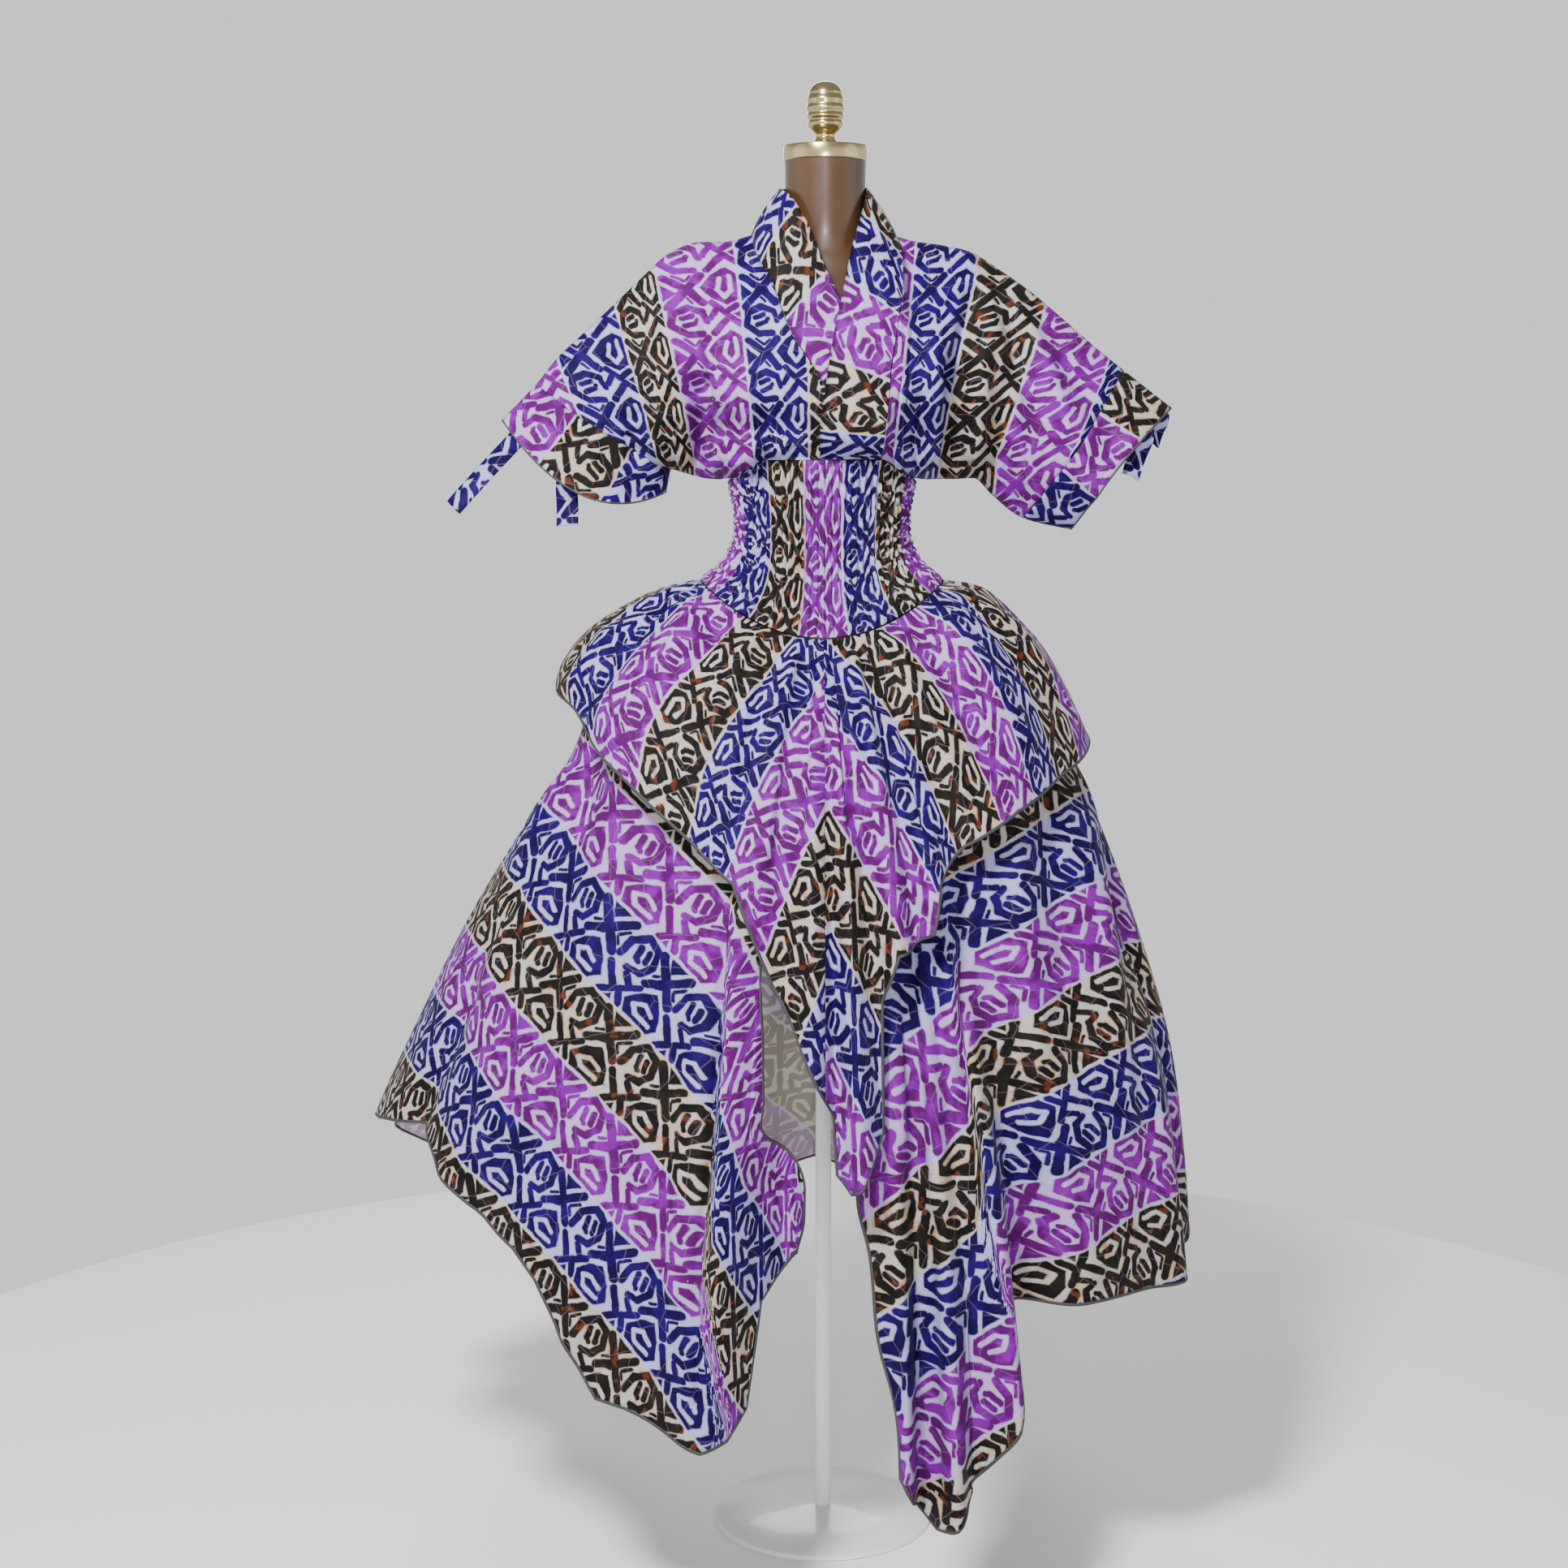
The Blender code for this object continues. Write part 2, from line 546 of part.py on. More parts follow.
def make_material(name, kind):
    """A plain Principled material of one of the named kinds."""
    red, green, blue, roughness, metallic = COLOURS[kind]
    material = bpy.data.materials.new(name + "_material")
    material.use_nodes = True
    shader = material.node_tree.nodes["Principled BSDF"]
    shader.inputs["Base Color"].default_value = (red, green, blue, 1.0)
    shader.inputs["Roughness"].default_value = roughness
    shader.inputs["Metallic"].default_value = metallic
    material.diffuse_color = (red, green, blue, 1.0)
    return material


def add_body(name, points, faces, kind):
    """Make one closed body, turned so that its faces look out."""
    points = np.asarray(points, dtype=float)
    volume = 0.0
    for a, b, c in faces:
        volume += float(np.dot(points[a], np.cross(points[b], points[c])))
    if volume < 0.0:
        faces = [(a, c, b) for a, b, c in faces]
    mesh = bpy.data.meshes.new(name)
    mesh.from_pydata([tuple(p) for p in points], [], faces)
    mesh.update()
    body = bpy.data.objects.new(name, mesh)
    bpy.context.scene.collection.objects.link(body)
    mesh.materials.append(make_material(name, kind))
    return body


def split_quads(points, quads):
    """Cut each four-sided face along its shorter diagonal."""
    faces = []
    for a, b, c, d in quads:
        if np.linalg.norm(points[a] - points[c]) <= np.linalg.norm(points[b] - points[d]):
            faces += [(a, b, c), (a, c, d)]
        else:
            faces += [(a, b, d), (b, c, d)]
    return faces


def wall_from_grid(name, middle, normals, kind="cloth", closed_columns=False, thickness=CLOTH):
    """A closed wall: the grid's points moved half a thickness to each side, with rims at its edges."""
    middle = middle + np.array([DRESS_SHIFT_X, 0.0, 0.0])
    rows, columns = middle.shape[:2]
    outer = (middle + normals * thickness / 2).reshape(-1, 3)
    inner = (middle - normals * thickness / 2).reshape(-1, 3)
    points = np.concatenate([outer, inner])
    half = rows * columns
    last = columns if closed_columns else columns - 1
    flat = middle.reshape(-1, 3)
    faces = []
    for i in range(rows - 1):
        for j in range(last):
            a = i * columns + j
            b = i * columns + (j + 1) % columns
            c = (i + 1) * columns + (j + 1) % columns
            d = (i + 1) * columns + j
            for p, q, r in split_quads(flat, [(a, b, c, d)]):
                faces.append((p, q, r))
                faces.append((p + half, r + half, q + half))
    rims = []
    for j in range(last):
        k = (j + 1) % columns
        rims.append((k, j, j + half, k + half))
        base = (rows - 1) * columns
        rims.append((base + j, base + k, base + k + half, base + j + half))
    if not closed_columns:
        for i in range(rows - 1):
            a = i * columns
            b = (i + 1) * columns
            rims.append((a, b, b + half, a + half))
            a += columns - 1
            b += columns - 1
            rims.append((b, a, a + half, b + half))
    for a, b, c, d in rims:
        faces += [(a, b, c), (a, c, d)]
    return add_body(name, points, faces, kind)


def lathe(name, profile, segments, kind):
    """A turned body: a closed profile of radius and height, spun round the z axis."""
    points = []
    for radius, z in profile:
        for k in range(segments):
            turn = 2 * math.pi * k / segments
            points.append((radius * math.cos(turn), radius * math.sin(turn), z))
    faces = []
    for i in range(len(profile) - 1):
        for k in range(segments):
            a = i * segments + k
            b = i * segments + (k + 1) % segments
            faces += [(a, b, b + segments), (a, b + segments, a + segments)]
    low = len(points)
    points.append((0.0, 0.0, profile[0][1]))
    high = len(points)
    points.append((0.0, 0.0, profile[-1][1]))
    top = (len(profile) - 1) * segments
    for k in range(segments):
        faces.append((low, (k + 1) % segments, k))
        faces.append((high, top + k, top + (k + 1) % segments))
    return add_body(name, points, faces, kind)


def make_form():
    """The smooth torso and neck, closed flat at the bottom and at the top of the neck."""
    segments = 32
    points = []
    for z, wide, deep, square in FORM_SECTIONS:
        for k in range(segments):
            turn = 2 * math.pi * k / segments
            c = math.cos(turn)
            s = math.sin(turn)
            x = wide * math.copysign(abs(c) ** (2 / square), c)
            y = deep * math.copysign(abs(s) ** (2 / square), s)
            points.append((x, y, z))
    faces = []
    for i in range(len(FORM_SECTIONS) - 1):
        for k in range(segments):
            a = i * segments + k
            b = i * segments + (k + 1) % segments
            faces += [(a, b, b + segments), (a, b + segments, a + segments)]
    low = len(points)
    points.append((0.0, 0.0, FORM_SECTIONS[0][0]))
    high = len(points)
    points.append((0.0, 0.0, FORM_SECTIONS[-1][0]))
    top = (len(FORM_SECTIONS) - 1) * segments
    for k in range(segments):
        faces.append((low, (k + 1) % segments, k))
        faces.append((high, top + k, top + (k + 1) % segments))
    add_body("form_torso", points, faces, "cover")


def zipped(first, first_at, second, second_at):
    """Triangles that join two rows of point numbers whose positions run from 0 to 1."""
    faces = []
    i = 0
    j = 0
    while i < len(first) - 1 or j < len(second) - 1:
        step_first = j == len(second) - 1
        if not step_first and i < len(first) - 1:
            step_first = first_at[i + 1] <= second_at[j + 1]
        if step_first:
            faces.append((first[i], first[i + 1], second[j]))
            i += 1
        else:
            faces.append((first[i], second[j + 1], second[j]))
            j += 1
    return faces


def make_smock(name, start, end):
    """Half of the smocked waist: raised gathers outside, plain inside."""
    columns = SMOCK_RIDGES + 1
    rows = 2 * ELASTIC_ROWS + 1
    spread = np.linspace(0.0, 1.0, columns)
    trim = 0.15
    angles = start + trim + (end - start - 2 * trim) * spread
    downs = np.linspace(0.0, 1.0, rows)
    plain = smock_point(angles[None, :] + 0.0 * downs[:, None], downs[:, None] + 0.0 * angles[None, :])
    normals = grid_normals(plain)
    centre = plain * np.array([1.0, 1.0, 0.0])
    if np.sum(normals * centre) < 0:
        normals = -normals
    normals[..., 2] *= 0.0
    normals = unit(normals)
    ridge = (np.arange(columns) % 2).astype(float)
    pinch = 0.55 + 0.45 * (np.arange(rows) % 2)
    lift = CLOTH / 2 + SMOCK_RIDGE_HEIGHT * ridge[None, :] * pinch[:, None]
    lift[0, :] = CLOTH / 2
    outer = plain + normals * lift[..., None]
    inner_angles = np.linspace(angles[0], angles[-1], 17)
    inner_downs = np.array([row[0] for row in SMOCK_PROFILE])
    inner_angle = inner_angles[None, :] + 0.0 * inner_downs[:, None]
    inner_down = inner_downs[:, None] + 0.0 * inner_angles[None, :]
    inside = smock_point(inner_angle, inner_down)
    inside_normals = grid_normals(inside)
    if np.sum(inside_normals * inside * np.array([1.0, 1.0, 0.0])) < 0:
        inside_normals = -inside_normals
    inside_normals[..., 2] *= 0.0
    inside_normals = unit(inside_normals)
    inner = inside - inside_normals * CLOTH / 2
    points = np.concatenate([outer.reshape(-1, 3), inner.reshape(-1, 3)])
    points = points + np.array([DRESS_SHIFT_X, 0.0, 0.0])
    offset = rows * columns
    inner_columns = len(inner_angles)
    inner_rows = len(inner_downs)
    faces = []
    for i in range(rows - 1):
        for j in range(columns - 1):
            a = i * columns + j
            faces += [(a, a + columns, a + columns + 1), (a, a + columns + 1, a + 1)]
    for i in range(inner_rows - 1):
        for j in range(inner_columns - 1):
            a = offset + i * inner_columns + j
            faces += [(a, a + inner_columns + 1, a + inner_columns), (a, a + 1, a + inner_columns + 1)]
    inner_spread = np.linspace(0.0, 1.0, inner_columns)
    top_outer = list(range(columns))
    top_inner = [offset + j for j in range(inner_columns)]
    low_outer = [(rows - 1) * columns + j for j in range(columns)]
    low_inner = [offset + (inner_rows - 1) * inner_columns + j for j in range(inner_columns)]
    left_outer = [i * columns for i in range(rows)]
    left_inner = [offset + i * inner_columns for i in range(inner_rows)]
    right_outer = [i * columns + columns - 1 for i in range(rows)]
    right_inner = [offset + i * inner_columns + inner_columns - 1 for i in range(inner_rows)]
    faces += zipped(top_outer, spread, top_inner, inner_spread)
    faces += [(a, c, b) for a, b, c in zipped(low_outer, spread, low_inner, inner_spread)]
    faces += [(a, c, b) for a, b, c in zipped(left_outer, downs, left_inner, inner_downs)]
    faces += zipped(right_outer, downs, right_inner, inner_downs)
    add_body(name, points, faces, "cloth")


def panel_on_ring(lines, folds, lengths, angles, rows, edge=None, edge_side=0):
    """The middle grid of a peplum or skirt panel: rows run down from the waist seam."""
    angles = np.asarray(angles, dtype=float)
    hem = straight(lengths, 1, angles)
    fractions = np.linspace(0.0, 1.0, rows) ** 0.92
    down = fractions[:, None] * hem[None, :]
    angle = angles[None, :] + 0.0 * down
    if edge is not None:
        reach = 6.0
        free = angles[-1] if edge_side < 0 else angles[0]
        shift = column(edge, 1, down) - free
        nearness = np.clip(1.0 - np.abs(angle - free) / (reach + np.abs(free)), 0.0, 1.0)
        angle = angle + shift * nearness**1.3
    return ring_point(lines, folds, angle, down, hem[None, :] + 0.0 * down), angle, down


def trim_columns(points, first, last):
    """Move the first and last columns of a grid in by half a seam gap."""
    moved = points.copy()
    if first:
        moved[:, 0] += unit(points[:, 1] - points[:, 0]) * SEAM_GAP / 2
    if last:
        moved[:, -1] += unit(points[:, -2] - points[:, -1]) * SEAM_GAP / 2
    return moved


def outward(points, normals):
    """Turn normals to look away from the z axis."""
    flat = points * np.array([1.0, 1.0, 0.0])
    return normals if np.sum(normals * flat) > 0 else -normals


def make_ring_layer(prefix, lines, folds, lengths, sets, rows):
    """The four panels of the peplum or of the skirt, cut from one surface."""
    grids = {}
    for part, (angles, edge, edge_side) in sets.items():
        grids[part] = panel_on_ring(lines, folds, lengths, angles, rows, edge, edge_side)[0]
    normals = {part: outward(grid, grid_normals(grid)) for part, grid in grids.items()}
    joins = [
        ("front_left", 0, "back_left", -1),
        ("front_right", -1, "back_right", 0),
        ("back_left", 0, "back_right", -1),
    ]
    if sets["front_left"][1] is None:
        joins.append(("front_left", -1, "front_right", 0))
    for one, i, other, j in joins:
        shared = unit(normals[one][:, i] + normals[other][:, j])
        normals[one][:, i] = shared
        normals[other][:, j] = shared
    for part, grid in grids.items():
        trimmed = trim_columns(grid, True, True)
        wall_from_grid(prefix + "_" + part, trimmed, normals[part])


def make_peplum():
    """The short pointed overlay that hangs from the smocked waist."""
    front_left = [-90, -79, -70, -62, -53, -45, -36, -27, -21, -17.3, -14.5]
    front_left += [-12.7, -11, -9.4, -7.5, -5.9, -4, -2.4, -0.8, 0]
    front_right = [0, 1.3, 1.8, 2.7, 3.6, 5, 6.4, 7.8, 8.9, 9.7, 11, 12.6, 14, 15.5]
    front_right += [17.2, 19.3, 20.4, 21.7, 23.5, 26, 28.9, 35, 42, 50, 58, 66, 78, 90]
    back_left = [-180, -172, -165, -158, -151, -145, -138, -131, -125, -118, -111, -105, -98, -90]
    back_right = [90, 98, 105, 111, 118, 125, 131, 138, 145, 152, 158, 165, 172, 180]
    sets = {
        "front_left": (front_left, None, 0),
        "front_right": (front_right, None, 0),
        "back_left": (back_left, None, 0),
        "back_right": (back_right, None, 0),
    }
    make_ring_layer("peplum", PEPLUM_LINES, PEPLUM_FOLDS, PEPLUM_LENGTH, sets, 8)


def make_skirt():
    """The long skirt with its uneven pointed hem, open at the centre front."""
    front_left = [-90, -80.6, -73, -66.3, -61.7, -57, -52.6, -46.7, -39.9, -36.1, -32]
    front_left += [-28.6, -25.9, -22.4, -19.5, -16.6, -14.5, -12.9, -11.6, -10.4]
    front_left += [-8.8, -7.8, -5.8, -3.6]
    front_right = [8, 10.1, 12.3, 14.6, 16.3, 18, 19.7, 21.4, 23.9, 25.4, 26.8, 29.1, 31]
    front_right += [33.5, 36.1, 40, 44.1, 49, 55, 61, 66, 70, 74, 79, 84, 90]
    back_left = [-180, -174, -168, -161, -155, -150, -146, -141, -136, -129, -122, -114, -106, -99, -90]
    back_right = [90, 99, 106, 114, 122, 129, 136, 142, 148, 152, 157, 162, 168, 174, 180]
    sets = {
        "front_left": (front_left, SKIRT_EDGE_LEFT, -1),
        "front_right": (front_right, SKIRT_EDGE_RIGHT, 1),
        "back_left": (back_left, None, 0),
        "back_right": (back_right, None, 0),
    }
    make_ring_layer("skirt", SKIRT_LINES, SKIRT_FOLDS, SKIRT_LENGTH, sets, 13)


def side_grid(side):
    """The whole surface of one side, from the neckline to the sleeve hem, and its normals."""
    stations = np.array([0.0, 0.5, 1.0, 1.5, 2.0, 2.5, 3.0, 3.5, 4.0, 5.0, 6.0, 7.0, 8.0, 8.35, 8.7, 9.0])
    front_v = np.array([1.0, 0.965, 0.93, 0.88, 0.80, 0.70, 0.58, 0.46, 0.34, 0.23, 0.14, 0.06])
    back_v = np.array([0.06, 0.11, 0.16, 0.25, 0.38, 0.52, 0.66, 0.80, 0.88, 0.93, 0.965, 1.0])
    rows = []
    for s in stations:
        front = bodice_point(side, np.full(front_v.shape, s), 1, front_v)
        crown = bodice_point(side, np.array([s]), 1, np.array([0.0]))
        back = bodice_point(side, np.full(back_v.shape, s), -1, back_v)
        rows.append(np.concatenate([front, crown, back]))
    grid = np.array(rows)
    normals = grid_normals(grid)
    out = np.array([0.0, 0.0, 1.35])
    if np.sum(normals[2:5, 2:8] * (grid[2:5, 2:8] - out)) < 0:
        normals = -normals
    sleeve = int(np.argmax(stations >= 3.5))
    under = unit(normals[sleeve:, 0] + normals[sleeve:, -1])
    normals[sleeve:, 0] = under
    normals[sleeve:, -1] = under
    normals[0, -10:] = unit(normals[0, -10:] * np.array([0.0, 1.0, 1.0]))
    level = np.array([1.0, 1.0, 0.0])
    normals[:sleeve, 0] = unit(normals[:sleeve, 0] * level)
    normals[:sleeve, -1] = unit(normals[:sleeve, -1] * level)
    return grid, normals, int(np.argmax(stations >= 8.0))


def make_bodice_half(side):
    """One half of the bodice with its sleeve, folded over the shoulder, and the band at its end."""
    grid, normals, seam = side_grid(side)
    body = grid[: seam + 1].copy()
    body[0] += unit(grid[1] - grid[0]) * SEAM_GAP / 2
    body[-1] += unit(grid[seam - 1] - grid[seam]) * SEAM_GAP / 2
    wall_from_grid("bodice_" + side, body, normals[: seam + 1])
    cuff = grid[seam:, :-1].copy()
    cuff[:, 0] = (grid[seam:, 0] + grid[seam:, -1]) / 2
    cuff[0] += unit(cuff[1] - cuff[0]) * SEAM_GAP / 2
    wall_from_grid("cuff_" + side, cuff, normals[seam:, :-1], closed_columns=True)


def make_band(side):
    """One half of the neck band, from the centre back to its front end."""
    rows = BAND_LEFT if side == "left" else BAND_RIGHT
    numbered = [(i,) + tuple(row) for i, row in enumerate(rows)]
    along = np.linspace(0.0, len(rows) - 1.0, 2 * len(rows) - 1)
    sewn = np.stack([column(numbered, k, along) for k in (1, 2, 3)], axis=-1)
    free = np.stack([column(numbered, k, along) for k in (4, 5, 6)], axis=-1)
    across = np.array([0.0, 0.33, 0.66, 1.0])
    grid = sewn[:, None] * (1 - across)[None, :, None] + free[:, None] * across[None, :, None]
    normals = grid_normals(grid)
    axis = np.array([0.0, 0.0, 1.5])
    if np.sum(normals[8:] * (grid[8:] - axis)) < 0:
        normals = -normals
    normals[0] = unit(normals[0] * np.array([0.0, 1.0, 1.0]))
    if side == "right":
        normals[-1] = unit(normals[-1] * np.array([1.0, 1.0, 0.0]))
    flatten = np.clip((len(rows) - 1.0 - along) / 2.5, 0.0, 1.0)
    grid = grid + normals * (0.003 * flatten[:, None] * (4 * across * (1 - across))[None, :])[..., None]
    moved = grid.copy()
    moved[:, 0] += unit(grid[:, 1] - grid[:, 0]) * (SEAM_GAP + CLOTH / 2)
    moved[0] += unit(grid[1] - grid[0]) * SEAM_GAP / 2
    wall_from_grid("band_" + side, moved, normals)


def make_tie(name, side, v, direction_x, direction_z, length, width):
    """A short strip that is sewn inside the sleeve hem and hangs from it."""
    hem = bodice_point(side, np.array([9.0]), 1, np.array([v]))[0]
    up = bodice_point(side, np.array([8.6]), 1, np.array([v]))[0]
    ahead = bodice_point(side, np.array([9.0]), 1, np.array([v + 0.04]))[0]
    normal = unit(np.cross(up - hem, ahead - hem))
    if normal[1] > 0:
        normal = -normal
    lay = hem + (up - hem) * 0.35 - normal * 0.0025
    leave = hem - normal * 0.0025
    hang = unit(np.array([direction_x, -0.10, direction_z]))
    across = unit(np.cross(hang, normal))
    if np.dot(across, ahead - hem) < 0:
        across = -across
    path = [lay, leave]
    for f in (0.2, 0.4, 0.6, 0.8, 1.0):
        sag = np.array([0.0, 0.010 * math.sin(3.0 * f), -0.008 * f * f])
        path.append(leave + hang * length * f + sag)
    path = np.array(path)
    edge = unit(ahead - hem)
    rows = []
    for i, point in enumerate(path):
        side_way = unit(edge * max(0.0, 1.0 - 0.5 * i) + across * min(1.0, 0.5 * i))
        rows.append([point - side_way * width / 2, point, point + side_way * width / 2])
    grid = np.array(rows)
    normals = grid_normals(grid)
    if np.sum(normals[:, 1] * normal) < 0:
        normals = -normals
    wall_from_grid(name, grid, normals)


def build():
    """Make every body of the part."""
    for old in list(bpy.data.objects):
        bpy.data.objects.remove(old, do_unlink=True)
    make_form()
    lathe("neck_cap", CAP_PROFILE, 32, "gold")
    lathe("finial", FINIAL_PROFILE, 20, "gold")
    lathe("stand_pole", [(POLE_RADIUS, POLE_BOTTOM_Z), (POLE_RADIUS, POLE_TOP_Z)], 24, "stand")
    lathe("stand_base", BASE_PROFILE, 32, "stand")
    make_smock("smock_front", -90.0, 90.0)
    make_smock("smock_back", 90.0, 270.0)
    make_peplum()
    make_skirt()
    for side in ("left", "right"):
        make_bodice_half(side)
        make_band(side)
    for tie in TIES:
        make_tie(*tie)


build()
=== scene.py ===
"""The handkerchief dress on its dress form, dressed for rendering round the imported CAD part.

Metres, +Z up, front toward -Y; left and right are as seen from the front. Tables inside metres()
are in millimetres. The cloth pieces are worked out from the same lines as the CAD solids, finer and
with more creases.
"""
import math

import bpy
import numpy as np
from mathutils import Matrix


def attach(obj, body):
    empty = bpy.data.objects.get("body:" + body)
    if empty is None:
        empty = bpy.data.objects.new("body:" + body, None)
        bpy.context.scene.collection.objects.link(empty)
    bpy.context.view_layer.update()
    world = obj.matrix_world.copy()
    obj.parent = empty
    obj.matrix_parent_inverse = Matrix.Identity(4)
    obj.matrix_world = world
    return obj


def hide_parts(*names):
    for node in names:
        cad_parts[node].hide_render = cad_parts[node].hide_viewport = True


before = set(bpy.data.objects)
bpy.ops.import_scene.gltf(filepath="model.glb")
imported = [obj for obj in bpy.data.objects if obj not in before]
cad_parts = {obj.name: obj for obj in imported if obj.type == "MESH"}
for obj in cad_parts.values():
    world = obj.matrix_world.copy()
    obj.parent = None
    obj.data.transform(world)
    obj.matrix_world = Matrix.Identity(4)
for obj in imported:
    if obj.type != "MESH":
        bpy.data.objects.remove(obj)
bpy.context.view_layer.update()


def metres(rows, skip=0):
    """A table in millimetres as metres; as many first columns as skip says stay as they are."""
    return [tuple(map(float, row[:skip])) + tuple(v / 1000.0 for v in row[skip:]) for row in rows]


# Thickness of the cloth here and in the solids, and the gap left along each seam.
SHELL = 0.0010
CLOTH = 0.0012
SEAM_GAP = 0.0005
# The dress hangs a little to the left of the form's axis.
DRESS_SHIFT_X = -0.003

# The waist seams: half width and half depth of the smocked waist, by height.
SMOCK_TOP_Z = 1.268
SMOCK_SIDE_BOTTOM_Z = 1.1515
SMOCK_FRONT_BOTTOM_Z = 1.0915
SMOCK_BACK_BOTTOM_Z = 1.1195
SMOCK_PROFILE = metres([
    # down, half_width, half_depth
    (0, 107, 88), (0.2, 101.5, 84.5), (0.4, 98.5, 83), (0.6, 100.5, 86), (0.75, 108, 93.5),
    (0.88, 121, 103), (1, 141, 116),
], skip=1)
SMOCK_ROWS = 99
SMOCK_COLUMNS = 421
SMOCK_GATHERS = 84
GATHER_HEIGHT = 0.0046
SMALL_GATHER_HEIGHT = 0.0008
SMOCK_ELASTIC_LINES = 15
SMOCK_CLOTH_LENGTH = 0.185
# The front of the upper waist seam is drawn up in the middle.
WAIST_ARCH = 0.022

# What takes the height out of a direction, and points inside the chest and inside the neck.
LEVEL = np.array([1.0, 1.0, 0.0])
CHEST_MIDDLE = np.array([0.0, 0.0, 1.35])
NECK_MIDDLE = np.array([0.0, 0.0, 1.5])
# Steps of the bodice's grid between two stations, and positions from the waist up to the shoulder.
BODICE_PARTS = 9
BODICE_DOWN = [1.0, 0.965, 0.93, 0.88, 0.80, 0.70, 0.58, 0.46, 0.34, 0.23, 0.14, 0.06, 0.0]
# Heights of the small gathers next to the waist seams, and of the neck band's roundness.
BODICE_RIPPLE = 0.0020
RING_RIPPLE = 0.0016
BAND_PUFF = 0.003

# Bodice halves. Each station is one line from the shoulder or overarm to the waist or underarm.
BODICE_LEFT = metres([
    # top x, y, z; mid dx, dz; low x, y in front, y at the back, z; depth in front, at the back
    (-82, 5, 1546, 0, 0, 12, -87.5, 88, 1269.8, 50, 45),
    (-110, 3, 1538.5, 0, 0, -45, -79.8, 79.8, 1269.8, 56, 48),
    (-148, 2, 1537, -4, 0, -82, -56.5, 56.5, 1269.8, 64, 56),
    (-180, 1, 1523, -6, 0, -106.6, -8, 8, 1269.8, 74, 66),
    (-210, 0, 1496, -6, -4, -123, -0.5, 0.5, 1268, 72, 64),
    (-243, 0, 1465, -4, -6, -137, -0.5, 0.5, 1269, 62, 56),
    (-279, 0, 1432, -2, -6, -150, -0.5, 0.5, 1272, 54, 50),
    (-307, 0, 1406, 0, -4, -163, -0.5, 0.5, 1276, 50, 48),
    (-331, 0, 1377, -5, -2, -175, -0.5, 0.5, 1279, 50, 48),
    (-372, 0, 1335, 1, -44, -182, -0.5, 0.5, 1252, 54, 50),
])
BODICE_RIGHT = metres([
    # top x, y, z; mid dx, dz; low x, y in front, y at the back, z; depth in front, at the back
    (84, 5, 1545, 0, 0, 66, -69.3, 88, 1269.8, 50, 45),
    (106, 3, 1539, 0, 0, 80, -58.5, 79.8, 1269.8, 60, 48),
    (140, 2, 1534, 3, 0, 96, -39, 56.5, 1269.8, 68, 56),
    (172, 1, 1526, 5, 0, 106.6, -8, 8, 1269.8, 76, 66),
    (203, 0, 1507, 6, -2, 128, -0.5, 0.5, 1268, 72, 64),
    (241, 0, 1481, 6, -2, 152, -0.5, 0.5, 1268, 62, 56),
    (281, 0, 1448, 5, 0, 176, -0.5, 0.5, 1269, 56, 52),
    (315, 0, 1419, 5, 0, 200, -0.5, 0.5, 1248, 54, 50),
    (348, 0, 1393, 4, 0, 234, -0.5, 0.5, 1223, 52, 50),
    (405.5, 0, 1349, -6, 6, 291, -0.5, 0.5, 1209, 54, 50),
])
# The neckline edge of each half, from the shoulder down to the waist, then round the back neck.
NECK_FRONT_LEFT = metres([
    # down, x, y, z
    (0, -82, 5, 1546), (0.12, -76, -38, 1521), (0.27, -58, -78, 1489), (0.4, -44, -92, 1450),
    (0.5, -34, -99, 1427), (0.66, -8, -105, 1388), (0.78, 10, -108, 1350), (0.88, 12, -108, 1308),
    (0.95, 12, -102, 1285), (1, 12, -87.5, 1269.8),
], skip=1)
NECK_FRONT_RIGHT = metres([
    # down, x, y, z
    (0, 84, 5, 1545), (0.12, 90, -40, 1520), (0.27, 89, -83, 1476), (0.4, 83, -100, 1436),
    (0.52, 77, -108, 1400), (0.69, 73, -113, 1352), (0.85, 70, -112, 1305), (0.94, 68, -98, 1280),
    (1, 66, -69.3, 1269.8),
], skip=1)
NECK_BACK = metres([
    # down, side_x (times the side's own neck x), y, z
    (0, 1, 5, 1545.5), (0.06, 0.78, 40, 1552), (0.11, 0.43, 62, 1556), (0.16, 0, 68, 1558),
    (0.4, 0, 96, 1470), (0.65, 0, 110, 1375), (0.85, 0, 110, 1305), (0.94, 0, 102, 1283),
    (1, 0, 88, 1269.8),
], skip=2)
